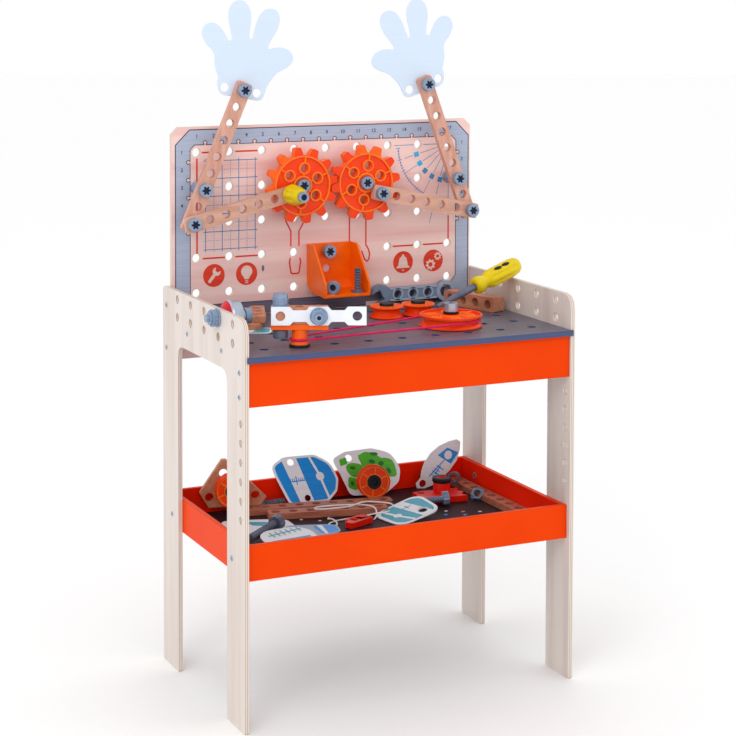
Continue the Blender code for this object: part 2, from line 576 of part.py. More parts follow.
base = upright(153, 66, floor) @ Matrix.Rotation(math.radians(-6), 4, "Z")
flipper = slab("flipper_base",
               fillet([(-37, -21), (30, -21), (37, -23), (28, -11), (37, 0), (30, 10), (37, 22), (-37, 20)],
                      2, 1),
               [circle(-26, 10, 5, 10)], 0, 9, base)
combine(flipper, turned("flipper_post", [(0, 8), (12.4, 8), (12.4, 24), (10.4, 25), (10.4, 26.4), (13, 27),
                                         (13, 30.6),
                                         (6, 30.6), (6, 28), (0, 28)], 16, base @ upright(5, 8)), "UNION")


def leaning(x, y, back, turn=0.0):
    """A frame for a card whose foot is at x, y and whose top is tipped back by an angle."""
    a, b = math.radians(back), math.radians(turn)
    return frame_of((x, y, TRAY_FLOOR + 0.5), (math.cos(b), math.sin(b), 0),
                    (-math.sin(a) * math.sin(b), math.sin(a) * math.cos(b), math.cos(a)))


slab("blue_card",
     fillet([(-33, 0), (28, 0), (45, 14), (51, 32), (43, 58), (20, 72), (-27, 73), (-51, 62), (-46, 42)],
            [12, 12, 14, 18, 26, 16, 18, 14, 30], 3),
     [circle(-19, 64, 5.4, 10), circle(-4, 8.5, 5.2, 10)], 0, 1.6, leaning(-30, TRAY_INNER - 23, 31.5))
slab("green_card",
     fillet([(-38, 4), (16, 0), (44, 16), (52, 36), (42, 62), (12, 72), (-32, 71), (-55, 62), (-46, 36)],
            [12, 16, 16, 18, 24, 20, 14, 8, 24], 3),
     [circle(-28, 61, 5.4, 10)], 0, 1.6, leaning(72, TRAY_INNER - 23, 31.5))

clip = upright(-15, -2, floor) @ Matrix.Rotation(math.radians(24), 4, "Z")
slab("cord_clip", fillet([(-22, -11), (24, -11), (24, 11), (-13, 11), (-13, 3), (-22, 3)], 2, 1),
     [box_outline(-9, -6, -1, 6), box_outline(3, -6, 11, 6)], 0, 8.5, clip)

# ---------------------------------------------------------------- the loose string
over = TRAY_FLOOR + STRIP_T + 1.7
low = TRAY_FLOOR + 1.6
path = [(17, 8, low), (22, 13, low), (27, 19, low + 3), (29, 26, over - 0.5), (30, 36, over), (26, 48, over),
        (12, 58, over), (-8, 64, over), (-30, 68, over), (-46, 68, over), (-52, 61, over), (-42, 54, over),
        (-22, 52, over), (-4, 51, over), (8, 51, over + 2), (20, 54, over + 3.6), (32, 59, over + 2),
        (44, 58, over),
        (57, 48, over), (63, 38, over - 1), (57, 26, low + 4), (40, 19, low + 4.4), (24, 17, low + 5.4),
        (8, 24, low + 1), (-10, 26, low), (-30, 24, low), (-46, 18, low), (-53, 9, low), (-48, 1, low),
        (-41, 4, low),
        (-39, 14, low + 2), (-41, 24, low + 3.6), (-44, 32, low + 1), (-38, 40, low)]


def smooth(points, times=2):
    for _ in range(times):
        out = [points[0]]
        for a, b in zip(points, points[1:]):
            a, b = Vector(a), Vector(b)
            out += [a * 0.75 + b * 0.25, a * 0.25 + b * 0.75]
        out.append(points[-1])
        points = out
    return [Vector(p) for p in points]


def tube(name, points, radius, n=6):
    bm = bmesh.new()
    rings = []
    up = Vector((0, 0, 1))
    for i, p in enumerate(points):
        t = (points[min(i + 1, len(points) - 1)] - points[max(i - 1, 0)]).normalized()
        s = t.cross(up).normalized()
        v = s.cross(t).normalized()
        rings.append([bm.verts.new(p + x * s + y * v) for x, y in circle(0, 0, radius, n, 0)])
    for a, b in zip(rings, rings[1:]):
        for k in range(n):
            bm.faces.new((a[k], a[(k + 1) % n], b[(k + 1) % n], b[k]))
    bm.faces.new(rings[0])
    bm.faces.new(rings[-1])
    return finish(name, bm)


tube("string", smooth(path, 1), 1.1, 4)
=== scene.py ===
# %% [markdown]
# # A toy workbench
# A child's workbench of birch plywood: a printed peg board, a stained worktop, two orange aprons and a
# tray of loose parts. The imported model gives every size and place. This script keeps those places and
# gives each piece its own finish, its rounded edges and the small details that a solid model leaves out.

# %% Load the fixed frame
import json
import math

import bmesh
import bpy
from mathutils import Matrix, Vector

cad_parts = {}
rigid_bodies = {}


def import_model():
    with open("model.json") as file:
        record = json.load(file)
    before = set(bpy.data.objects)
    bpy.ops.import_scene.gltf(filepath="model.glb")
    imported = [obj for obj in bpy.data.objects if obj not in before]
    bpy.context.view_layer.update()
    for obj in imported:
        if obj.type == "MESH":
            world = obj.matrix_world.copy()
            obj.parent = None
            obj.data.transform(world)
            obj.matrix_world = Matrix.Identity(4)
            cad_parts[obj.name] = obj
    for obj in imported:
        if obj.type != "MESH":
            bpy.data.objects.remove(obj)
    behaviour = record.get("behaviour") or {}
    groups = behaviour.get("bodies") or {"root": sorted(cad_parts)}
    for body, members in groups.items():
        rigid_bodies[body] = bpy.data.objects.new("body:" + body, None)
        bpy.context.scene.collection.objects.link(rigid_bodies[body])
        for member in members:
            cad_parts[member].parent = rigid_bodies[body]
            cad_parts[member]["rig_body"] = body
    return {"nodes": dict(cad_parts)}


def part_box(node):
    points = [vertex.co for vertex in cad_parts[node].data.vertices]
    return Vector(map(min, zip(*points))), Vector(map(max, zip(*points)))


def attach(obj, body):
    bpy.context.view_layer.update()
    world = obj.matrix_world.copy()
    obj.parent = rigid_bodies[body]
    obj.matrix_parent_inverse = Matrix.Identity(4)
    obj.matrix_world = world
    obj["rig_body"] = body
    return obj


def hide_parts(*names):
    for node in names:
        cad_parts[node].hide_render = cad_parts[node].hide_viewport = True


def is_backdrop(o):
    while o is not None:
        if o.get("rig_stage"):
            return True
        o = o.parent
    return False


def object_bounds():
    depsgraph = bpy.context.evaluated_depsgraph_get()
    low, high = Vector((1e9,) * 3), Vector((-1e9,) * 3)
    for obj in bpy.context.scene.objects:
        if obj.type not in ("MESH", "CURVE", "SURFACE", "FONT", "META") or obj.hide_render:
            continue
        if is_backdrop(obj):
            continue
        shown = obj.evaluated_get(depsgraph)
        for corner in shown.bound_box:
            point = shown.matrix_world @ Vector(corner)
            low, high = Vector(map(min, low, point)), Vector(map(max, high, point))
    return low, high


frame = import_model()
model_box = [list(corner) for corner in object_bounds()]
MM = 0.001

# %% [markdown]
# ## Where things are
# The middle of the board and the middle of the worktop carry every measure, so both are read from the
# frame: the board's front face, the axes of its rows of holes, and the floor of the tray. A point on the
# board is given as x and z from those axes and as its height in front of the wood.

# %% Reference planes and places
board_low, board_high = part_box("back_board")
top_low, top_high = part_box("worktop")
tray_low, tray_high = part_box("shelf_board")
MID_X = (board_low.x + board_high.x) / 2
BOARD_Y = board_low.y
BOARD_TOP = board_high.z
WORKTOP_Z = top_high.z
TRAY_Z = tray_high.z
MID_Y = sum(c.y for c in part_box("left_side_panel")) / 2
PITCH = 0.05
ROW_Z = [BOARD_TOP - 0.0365 - PITCH * k for k in range(5)]
COLUMN_X = [MID_X + PITCH * (k - 4) for k in range(9)]
HOLE_R = 6.25 * MM


def on_board(x, z, out=0.0):
    """A point in front of the board: x and z in mm, as height above the floor, and out in mm."""
    return Vector((MID_X + x * MM, BOARD_Y - out * MM, z * MM))


print("board front at y =", round(BOARD_Y, 4), "worktop at z =", round(WORKTOP_Z, 4))

# %% [markdown]
# ## Camera, floor and light
# The bench is seen from its front left, a little above the worktop, through a long lens. The light is a
# white studio: a bright even world, one large soft lamp from the front left and a weaker one to fill.

# %% Camera
camera_data = bpy.data.cameras.new("camera")
camera_data.sensor_width = 36.0
camera_data.lens = 93.38
camera_data.shift_x = 0.0382
camera_data.shift_y = -0.3856
camera_data.clip_end = 20.0
camera = bpy.data.objects.new("camera", camera_data)
bpy.context.scene.collection.objects.link(camera)
yaw, pitch, roll = math.radians(24.664), math.radians(3.084), math.radians(0.12)
ahead = Vector((math.sin(yaw) * math.cos(pitch), math.cos(yaw) * math.cos(pitch), -math.sin(pitch)))
side = Vector((math.cos(yaw), -math.sin(yaw), 0.0))
above = side.cross(ahead)
side, above = (side * math.cos(roll) + above * math.sin(roll), above * math.cos(roll) - side * math.sin(roll))
turn = Matrix((side, above, -ahead)).transposed().to_4x4()
camera.matrix_world = Matrix.Translation((-1.12898, -2.38197, 0.96485)) @ turn
bpy.context.scene.camera = camera
print("camera looks along", [round(v, 3) for v in ahead])

# %% Floor and lights
bpy.ops.mesh.primitive_plane_add(size=60.0, location=(0.0, 0.0, 0.0))
floor = bpy.context.object
floor.name = "studio_floor"
floor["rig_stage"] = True


def soft_lamp(name, place, target, size, power):
    lamp = bpy.data.lights.new(name, "AREA")
    lamp.shape = "DISK"
    lamp.size = size
    lamp.energy = power
    ob = bpy.data.objects.new(name, lamp)
    bpy.context.scene.collection.objects.link(ob)
    look = (Vector(target) - Vector(place)).to_track_quat("-Z", "Y")
    ob.matrix_world = Matrix.Translation(place) @ look.to_matrix().to_4x4()
    return ob


soft_lamp("key_lamp", (-2.2, -2.0, 2.3), (0.0, 0.0, 0.4), 1.6, 20.0)
soft_lamp("fill_lamp", (2.4, -2.2, 1.4), (0.0, 0.0, 0.5), 2.2, 5.0)
world = bpy.data.worlds.new("white_studio")
bpy.context.scene.world = world
world.use_nodes = True
world.node_tree.nodes["Background"].inputs["Color"].default_value = (1.0, 1.0, 1.0, 1.0)
world.node_tree.nodes["Background"].inputs["Strength"].default_value = 1.0
bpy.context.scene.view_settings.view_transform = "Standard"

# %% [markdown]
# ## Small helpers for materials
# One function turns a hex colour, as on a paint chart, into the linear values that a shader takes. One
# function adds a node, sets its values and links its inputs. Every finish below is made from those two.

# %% Colour, node and material helpers


def colour(hex_code):
    """An sRGB hex colour as linear red, green, blue and alpha."""
    values = [int(hex_code[i:i + 2], 16) / 255 for i in (1, 3, 5)]
    return tuple(v / 12.92 if v <= 0.04045 else ((v + 0.055) / 1.055) ** 2.4 for v in values) + (1.0,)


def add_node(mat, kind, settings=None, **inputs):
    """Adds a node. Settings are its own properties; an input is a value or another node's output."""
    node = mat.node_tree.nodes.new(kind)
    for key, value in (settings or {}).items():
        setattr(node, key, value)
    for key, value in inputs.items():
        name = key.replace("_", " ")
        socket = node.inputs[int(name[5:])] if name.startswith("input") else node.inputs[name]
        if isinstance(value, bpy.types.NodeSocket):
            mat.node_tree.links.new(value, socket)
        else:
            socket.default_value = value
    return node


def new_finish(name, roughness, **shader):
    """An empty material with a Principled shader; returns the material and the shader node."""
    mat = bpy.data.materials.new(name)
    mat.use_nodes = True
    bsdf = mat.node_tree.nodes["Principled BSDF"]
    bsdf.inputs["Roughness"].default_value = roughness
    for key, value in shader.items():
        bsdf.inputs[key.replace("_", " ")].default_value = value
    return mat, bsdf


def place_of(mat, scale=(1.0, 1.0, 1.0), turn=(0.0, 0.0, 0.0)):
    """Object coordinates, stretched by scale; the unit is one metre."""
    where = add_node(mat, "ShaderNodeTexCoord")
    return add_node(mat, "ShaderNodeMapping", Vector=where.outputs["Object"], Scale=scale, Rotation=turn).outputs[0]


def ramp(mat, factor, *stops):
    """A colour ramp with (position, hex) stops."""
    node = add_node(mat, "ShaderNodeValToRGB", Fac=factor)
    band = node.color_ramp
    while len(band.elements) < len(stops):
        band.elements.new(0.5)
    for element, (position, hex_code) in zip(band.elements, stops):
        element.position = position
        element.color = colour(hex_code)
    return node.outputs["Color"]


def mixed(mat, factor, a, b, blend="MIX"):
    """Two colours mixed; each is a hex code or a socket."""
    a, b = [colour(c) if isinstance(c, str) else c for c in (a, b)]
    node = add_node(mat, "ShaderNodeMix", {"data_type": "RGBA", "blend_type": blend})
    for socket, value in ((node.inputs[0], factor), (node.inputs[6], a), (node.inputs[7], b)):
        if isinstance(value, bpy.types.NodeSocket):
            mat.node_tree.links.new(value, socket)
        else:
            socket.default_value = value
    return node.outputs[2]


def set_input(mat, bsdf, name, socket):
    mat.node_tree.links.new(socket, bsdf.inputs[name])


def raise_grain(mat, bsdf, height, strength, distance):
    """Bump from a height socket; distance is the real depth in metres."""
    bump = add_node(mat, "ShaderNodeBump", Height=height, Strength=strength, Distance=distance)
    set_input(mat, bsdf, "Normal", bump.outputs[0])


# %% [markdown]
# ## Wood
# Birch plywood has a pale face with faint, long figure and a few darker flecks. Its edge shows the
# layers: light and darker bands about 1.2 mm thick, which run around the whole sheet. Two noises stretched
# along the grain give the figure, and a wave across the thickness gives the layers where the surface
# turns away from the sheet's face. Beech is pinker, with short dark pores.

# %% Plywood, beech, paint and stain


def grain_noise(mat, along, fine, length, detail=4.0):
    """Noise stretched along one axis: fine is the width of a streak in mm, length its length in mm."""
    scale = [1000.0 / fine] * 3
    scale["XYZ".index(along)] = 1000.0 / length
    return add_node(mat, "ShaderNodeTexNoise", Vector=place_of(mat, scale), Scale=1.0, Detail=detail,
                    Roughness=0.55).outputs[0]


def edge_layers(mat, sheet_normal, layer=1.25):
    """Plywood layers across the thickness, and how much of the surface is edge and not face."""
    axis = "XYZ".index(sheet_normal)
    scale = [0.0, 0.0, 0.0]
    scale[axis] = 1000.0 / layer
    where = add_node(mat, "ShaderNodeSeparateXYZ", Vector=place_of(mat, scale)).outputs[axis]
    wave = add_node(mat, "ShaderNodeMath", {"operation": "SINE"}, input0=add_node(
        mat, "ShaderNodeMath", {"operation": "MULTIPLY"}, input0=where, input1=math.pi).outputs[0]).outputs[0]
    bands = add_node(mat, "ShaderNodeMapRange", Value=wave, From_Min=-0.5, From_Max=0.5).outputs[0]
    normal = add_node(mat, "ShaderNodeNewGeometry").outputs["Normal"]
    facing = add_node(mat, "ShaderNodeSeparateXYZ", Vector=normal).outputs[axis]
    flat = add_node(mat, "ShaderNodeMath", {"operation": "ABSOLUTE"}, input0=facing).outputs[0]
    edge = add_node(mat, "ShaderNodeMapRange", Value=flat, From_Min=0.75, From_Max=0.55).outputs[0]
    return bands, edge


def plywood(name, sheet_normal, along, pale, deep, edge_pale, edge_deep):
    mat, bsdf = new_finish(name, 0.42, Specular_IOR_Level=0.42)
    broad = grain_noise(mat, along, 26.0, 420.0, 3.0)
    fine = grain_noise(mat, along, 1.6, 60.0)
    face = ramp(mat, broad, (0.30, deep), (0.55, pale), (0.75, pale))
    face = mixed(mat, add_node(mat, "ShaderNodeMapRange", Value=fine, From_Min=0.52, From_Max=0.75,
                               To_Max=0.32).outputs[0], face, deep)
    bands, edge = edge_layers(mat, sheet_normal)
    cut = mixed(mat, bands, edge_pale, edge_deep)
    set_input(mat, bsdf, "Base Color", mixed(mat, edge, face, cut))
    raise_grain(mat, bsdf, fine, 0.22, 0.0002)
    return mat


# Outside faces of clear-varnished birch: almost white, slightly pink.
birch_side = plywood("birch_ply_panel", "X", "Z", "#DFD4CD", "#D3C5BC", "#E6DCD3", "#BFA896")
birch_board = plywood("birch_ply_board", "Y", "X", "#F3D2CC", "#E8B9B4", "#EBDCD0", "#C4A28F")


def solid_wood(name, along, pale, deep, pore):
    """Planed beech or a hardwood strip, with fine dark pores along the grain."""
    mat, bsdf = new_finish(name, 0.45, Specular_IOR_Level=0.4)
    broad = grain_noise(mat, along, 9.0, 150.0, 3.0)
    pores = grain_noise(mat, along, 0.8, 14.0)
    face = ramp(mat, broad, (0.3, deep), (0.7, pale))
    face = mixed(mat, add_node(mat, "ShaderNodeMapRange", Value=pores, From_Min=0.56, From_Max=0.72,
                               To_Max=0.55).outputs[0], face, pore)
    set_input(mat, bsdf, "Base Color", face)
    raise_grain(mat, bsdf, pores, 0.25, 0.0002)
    return mat


beech_arm = solid_wood("beech_arm", "Z", "#DBA995", "#C88E7B", "#A86A55")
beech_link = solid_wood("beech_link", "X", "#DDB09A", "#C9937D", "#A86A55")
beech_shelf = solid_wood("beech_shelf_strip", "X", "#C4785F", "#A55C44", "#7C3E2C")
beech_block = solid_wood("beech_block", "Y", "#CD8C6E", "#B4714F", "#8A4B33")


def satin_paint(name, base, dark, roughness=0.36):
    """Sprayed acrylic on plywood: even colour, a faint orange-peel skin, soft gloss."""
    mat, bsdf = new_finish(name, roughness, Specular_IOR_Level=0.06)
    cloud = add_node(mat, "ShaderNodeTexNoise", Vector=place_of(mat), Scale=9.0, Detail=2.0).outputs[0]
    peel = add_node(mat, "ShaderNodeTexNoise", Vector=place_of(mat), Scale=700.0, Detail=2.0).outputs[0]
    set_input(mat, bsdf, "Base Color", ramp(mat, cloud, (0.3, dark), (0.7, base)))
    raise_grain(mat, bsdf, peel, 0.12, 0.0003)
    return mat


orange_paint = satin_paint("orange_satin_paint", "#EE4200", "#E83E00")
# Painted light: a redder copy of the orange paint for the inner faces of the tray walls, standing in for shade and
# light bounced off orange inside the tray.
tray_painted_bounce_light = satin_paint("orange_painted_bounce_light", "#FF2804", "#F62200")


def stained_ply(name):
    """Grey-violet stain on the worktop: open grain, the front edge bluer where the ply layers took it."""
    mat, bsdf = new_finish(name, 0.38, Specular_IOR_Level=0.5)
    broad = grain_noise(mat, "X", 7.0, 220.0)
    fine = grain_noise(mat, "X", 0.9, 45.0)
    face = ramp(mat, broad, (0.3, "#575463"), (0.7, "#6B6777"))
    face = mixed(mat, add_node(mat, "ShaderNodeMapRange", Value=fine, From_Min=0.5, From_Max=0.7,
                               To_Max=0.5).outputs[0], face, "#4B4858")
    bands, edge = edge_layers(mat, "Z")
    cut = mixed(mat, fine, "#2E3A60", "#46557F")
    set_input(mat, bsdf, "Base Color", mixed(mat, edge, face, cut))
    raise_grain(mat, bsdf, fine, 0.3, 0.0002)
    return mat


worktop_stain = stained_ply("grey_stained_ply")
shelf_stain = satin_paint("shelf_dark_paint", "#3E262B", "#301C20", 0.4)

# %% [markdown]
# ## Plastics, rubber and print
# The gears, wheels and bolts are injection moulded. Moulded ABS has a satin skin with a very fine texture
# and small differences of tone where it cooled. The bolts are a blue-grey grade with a duller skin. Print
# is ink under the varnish, so it has the wood's gloss and no thickness to speak of.

# %% Moulded and printed finishes


def moulded(name, base, dark, roughness=0.3, texture=0.10, **shader):
    mat, bsdf = new_finish(name, roughness, Specular_IOR_Level=0.25, **shader)
    cloud = add_node(mat, "ShaderNodeTexNoise", Vector=place_of(mat), Scale=60.0, Detail=3.0).outputs[0]
    skin = add_node(mat, "ShaderNodeTexNoise", Vector=place_of(mat), Scale=1600.0, Detail=1.0).outputs[0]
    set_input(mat, bsdf, "Base Color", ramp(mat, cloud, (0.25, dark), (0.75, base)))
    raise_grain(mat, bsdf, skin, texture, 0.0002)
    return mat


gear_orange = moulded("moulded_abs_orange", "#FA4200", "#F03A00")
gear_light = moulded("moulded_abs_light_orange", "#FF8A1E", "#FA7C14")
tooth_orange = moulded("moulded_abs_tooth_orange", "#FF6A04", "#FA5E00")
bin_orange = moulded("moulded_abs_bin", "#FF7000", "#F86400", 0.28)
bolt_grey = moulded("moulded_nylon_blue_grey", "#96A8C0", "#7A8DA9", 0.24, Metallic=0.3)
# Painted shade: this dark navy is put on the floor of every recess in bolts, screws and hubs, standing in for the shade
# inside the hole.
recess_painted_shade = moulded("painted_recess_shade", "#141B38", "#0E142C", 0.5)
steel_grey = moulded("moulded_nylon_grey", "#6E7486", "#565C6E", 0.3, Metallic=0.25)
wrench_grey = moulded("moulded_abs_slate", "#8496AE", "#71839C", 0.35)
wrench_rim = moulded("moulded_abs_slate_light", "#A9B9CC", "#98A9BE", 0.32)
handle_yellow = moulded("moulded_abs_yellow", "#E8CC00", "#DABE00", 0.26)
soft_black = moulded("moulded_rubber_black", "#1B1B20", "#121216", 0.45)
bracket_white = moulded("moulded_abs_white", "#F1F4FA", "#E5E9F2", 0.3)
clip_red = moulded("moulded_abs_red", "#EE1E06", "#DC1602", 0.28)
bell_red = moulded("moulded_abs_crimson", "#D3122B", "#B70D22", 0.3)
band_rubber = moulded("natural_rubber_crimson", "#E81762", "#D51055", 0.5)
screw_steel = moulded("zinc_plated_steel", "#B9C2D0", "#9FA9B8", 0.3, 0.05, Metallic=0.7)


def printed(name, base, dark, streak_along="X", roughness=0.42):
    """Screen-printed ink: the wood's streaks still show through it a little."""
    mat, bsdf = new_finish(name, roughness, Specular_IOR_Level=0.4)
    streak = grain_noise(mat, streak_along, 1.8, 70.0)
    set_input(mat, bsdf, "Base Color", ramp(mat, streak, (0.35, dark), (0.65, base)))
    return mat


ruler_ink = printed("ink_ruler_blue_grey", "#AEB8CC", "#A2ADC6")
navy_ink = printed("ink_navy", "#1E2A48", "#18223C")
red_ink = printed("ink_red", "#E23A1A", "#D42E12")
grid_ink = printed("ink_blue", "#3C8CC2", "#347FB4")
sky_ink = printed("ink_sky_blue", "#37B4E8", "#2CA5DC")
plum_ink = printed("ink_plum_grey", "#70697C", "#5D566A")
card_white = printed("card_white", "#F2F1F6", "#E9E8F0", "X", 0.35)
card_blue = printed("card_print_blue", "#1C97EC", "#168BE0", "X", 0.35)
card_teal = printed("card_print_teal", "#1FA9C4", "#189BB6", "X", 0.35)
card_green = printed("card_print_green", "#58C42A", "#4CB522", "X", 0.35)
card_deep_green = printed("card_print_deep_green", "#1E7A2C", "#186C25", "X", 0.35)
hand_white = printed("hand_board_pale_blue", "#D4E3F5", "#D0E0F3", "X", 0.45)
icon_wood = printed("icon_bare_wood", "#EBCFC6", "#E0BDB2")
cotton_white = printed("cotton_white", "#FAF8F5", "#EFECE8", "Z", 0.8)
floor_paint = printed("studio_floor_white", "#FFFFFF", "#FDFDFD", "X", 0.6)
floor.data.materials.append(floor_paint)

# %% [markdown]
# ## Rebuilding flat plates
# A solid model's holes have only eight or twelve sides and its corners are sharp. Most of this toy is flat
# plates with round holes, so one function rebuilds them all: it reads the rims of the model's plate,
# keeps the outline, turns each hole into a true circle, fills the face, extrudes it to its thickness and
# gives it a small bevel. The plate stays where it was to within a hundredth of a millimetre.

# %% Mesh helpers


SLOT_FINISHES = {
    "birch_ply": (birch_side,), "orange_paint": (orange_paint, tray_painted_bounce_light), "cotton": (cotton_white,),
    "board_print": (birch_board, ruler_ink, navy_ink, red_ink, grid_ink, sky_ink, plum_ink, icon_wood),
    "worktop_paint": (worktop_stain, shelf_stain), "beech": (beech_arm, beech_link, beech_shelf, beech_block),
    "bolt_plastic": (bolt_grey, recess_painted_shade, steel_grey, screw_steel), "gear_plastic": (
        gear_orange, gear_light, bin_orange), "pulley_plastic": (tooth_orange,), "rubber_band": (band_rubber,),
    "wrench_plastic": (wrench_grey, wrench_rim), "yellow_plastic": (handle_yellow,),
    "shaft_plastic": (soft_black,), "bracket_plastic": (bracket_white,), "hand_board": (hand_white,),
    "blue_print": (card_white, card_blue, card_teal), "green_print": (card_green, card_deep_green),
    "red_plastic": (clip_red, bell_red)}
SLOT_OF = {mat.name: slot for slot, mats in SLOT_FINISHES.items() for mat in mats}


def new_piece(name, bm, finish, body, bevel=0.0, segments=2, smooth=35.0):
    """Turns a bmesh into a named piece that rides on a body."""
    bmesh.ops.recalc_face_normals(bm, faces=bm.faces)
    mesh = bpy.data.meshes.new(name)
    bm.to_mesh(mesh)
    bm.free()
    mesh.shade_smooth()
    mesh.set_sharp_from_angle(angle=math.radians(smooth))
    ob = bpy.data.objects.new(name, mesh)
    bpy.context.scene.collection.objects.link(ob)
    for mat in finish if isinstance(finish, (list, tuple)) else [finish]:
        mesh.materials.append(mat)
    if bevel:
        mod = ob.modifiers.new("edge_round", "BEVEL")
        mod.width = bevel
        mod.segments = segments
        mod.limit_method = "ANGLE"
        mod.angle_limit = math.radians(38)
        mod.harden_normals = True
    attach(ob, body)
    return ob


def body_of(node):
    """The name of the body that a node of the model rides on."""
    return frame["nodes"][node]["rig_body"]


def merged_copy(node):
    """A node's mesh with its doubled points joined and its flat faces whole."""
    bm = bmesh.new()
    bm.from_mesh(frame["nodes"][node].data)
    bmesh.ops.remove_doubles(bm, verts=bm.verts, dist=0.00002)
    bmesh.ops.dissolve_limit(bm, angle_limit=0.01, verts=bm.verts, edges=bm.edges)
    return bm


def softened(node, finish, bevel=0.0006, segments=2, **options):
    """The model's own shape with rounded edges."""
    piece = new_piece(node + "_body", merged_copy(node), finish, body_of(node), bevel, segments, **options)
    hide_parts(node)
    return piece


def rims(node, out):
    """Closed loops of points around a plate's face that looks along out, and the plate's thickness."""
    bm = bmesh.new()
    bm.from_mesh(frame["nodes"][node].data)
    bmesh.ops.remove_doubles(bm, verts=bm.verts, dist=0.00002)
    bm.normal_update()
    front = {f for f in bm.faces if f.normal.dot(out) > 0.99}
    links = {}
    for e in bm.edges:
        if sum(f in front for f in e.link_faces) == 1:
            a, b = e.verts
            links.setdefault(a, []).append(b)
            links.setdefault(b, []).append(a)
    loops = []
    while links:
        start = next(iter(links))
        loop, at, before = [start], links[start][0], start
        while at is not start:
            loop.append(at)
            at, before = next(v for v in links[at] if v is not before), at
        for v in loop:
            del links[v]
        loops.append([v.co.copy() for v in loop])
    heights = [v.co.dot(out) for v in bm.verts]
    bm.free()
    loops.sort(key=lambda loop: -sum((a - b).length for a, b in zip(loop, loop[1:])))
    return loops, max(heights) - min(heights)


def axes_of(out):
    """Two directions that span the plane across out."""
    out = Vector(out).normalized()
    u = out.cross(Vector((0, 0, 1))) if abs(out.z) < 0.9 else Vector((1, 0, 0))
    u = (u - out * u.dot(out)).normalized()
    return u, out.cross(u), out


def ring_points(centre, radius, out, count=28, wave=0.0, lobes=6, start=0.0):
    """Points of a circle, or of a star with rounded lobes when wave is not zero."""
    u, v, _ = axes_of(out)
    points = []
    for k in range(count):
        a = 2 * math.pi * k / count + start
        r = radius * (1 + wave * math.cos(lobes * a))
        points.append(centre + u * (r * math.cos(a)) + v * (r * math.sin(a)))
    return points


def filled(loops, out, depth):
    """A bmesh plate: loops lie in its front face, and it reaches back by depth."""
    bm = bmesh.new()
    edges = []
    for loop in loops:
        verts = [bm.verts.new(p) for p in loop]
        edges += [bm.edges.new((a, b)) for a, b in zip(verts, verts[1:] + verts[:1])]
    bmesh.ops.triangle_fill(bm, use_beauty=True, edges=edges, normal=out)
    if depth:
        back = bmesh.ops.extrude_face_region(bm, geom=bm.faces[:])
        moved = [g for g in back["geom"] if isinstance(g, bmesh.types.BMVert)]
        bmesh.ops.translate(bm, vec=-Vector(out) * depth, verts=moved)
        bmesh.ops.dissolve_limit(bm, angle_limit=0.01, verts=bm.verts, edges=bm.edges)
    return bm


def rounded_line(points, times=1):
    """Cuts the corners of a closed line, which rounds it."""
    for _ in range(times):
        points = [q for a, b in zip(points, points[1:] + points[:1]) for q in (a * 0.75 + b * 0.25, a * 0.25 + b * 0.75)]
    return points


def replated(node, out, finish, bevel=0.0007, soften=0, holes=28):
    """Rebuilds a flat plate of the model with round holes and rounded edges."""
    out = Vector(out).normalized()
    loops, thickness = rims(node, out)
    outline = rounded_line(loops[0], soften)
    rings = []
    for loop in loops[1:]:
        centre = sum(loop, Vector()) / len(loop)
        rings.append(ring_points(centre, (loop[0] - centre).length, out, holes))
    piece = new_piece(node + "_plate", filled([outline] + rings, out, thickness), finish, body_of(node), bevel)
    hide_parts(node)
    return piece, outline, rings


FRONT, UP, RIGHT = Vector((0, -1, 0)), Vector((0, 0, 1)), Vector((1, 0, 0))

# %% Panels, board, worktop and hands
replated("left_side_panel", RIGHT, birch_side, 0.0012)
replated("right_side_panel", RIGHT, birch_side, 0.0012)
replated("back_board", FRONT, birch_board, 0.001)
replated("worktop", UP, worktop_stain, 0.001)
for node in ("left_arm", "right_arm"):
    replated(node, FRONT, beech_arm, 0.0008)
for node in ("left_link", "right_link"):
    replated(node, FRONT, beech_link, 0.0008)
for node in ("left_hand", "right_hand"):
    replated(node, FRONT, hand_white, 0.0004, soften=1)
for node in ("strip_front", "strip_back"):
    replated(node, UP, beech_shelf, 0.0008)
print("plates rebuilt")

# %% [markdown]
# ## Print on the board
# A ruler frame runs round the board: a blue-grey band with a navy outline, keyhole notches every 25 mm
# and generic numbers. Inside it are a drawing grid, a protractor, dashed tool outlines and four round
# icons. Each ink is one thin mesh lying 0.1 mm in front of the wood, so that it stays sharp and exports
# like any other piece. Lines are cut from narrow quads, and they stop short of the peg holes.

# %% Drawing helpers for ink
INK = 0.12                       # height of ink over the wood, in mm


def ink_piece(name, finish, body="bench"):
    """Starts an ink drawing; returns the bmesh to draw in and a function that finishes it."""
    bm = bmesh.new()

    def done():
        return new_piece(name, bm, finish, body)
    return bm, done


def quad_line(bm, a, b, width, out=INK, at=on_board):
    """A straight stroke from a to b, both (x, z) in mm."""
    d = Vector((b[0] - a[0], b[1] - a[1]))
    n = Vector((-d.y, d.x)).normalized() * width / 2
    corners = [(a[0] + n.x, a[1] + n.y), (a[0] - n.x, a[1] - n.y), (b[0] - n.x, b[1] - n.y), (b[0] + n.x, b[1] + n.y)]
    bm.faces.new([bm.verts.new(at(x, z, out)) for x, z in corners])


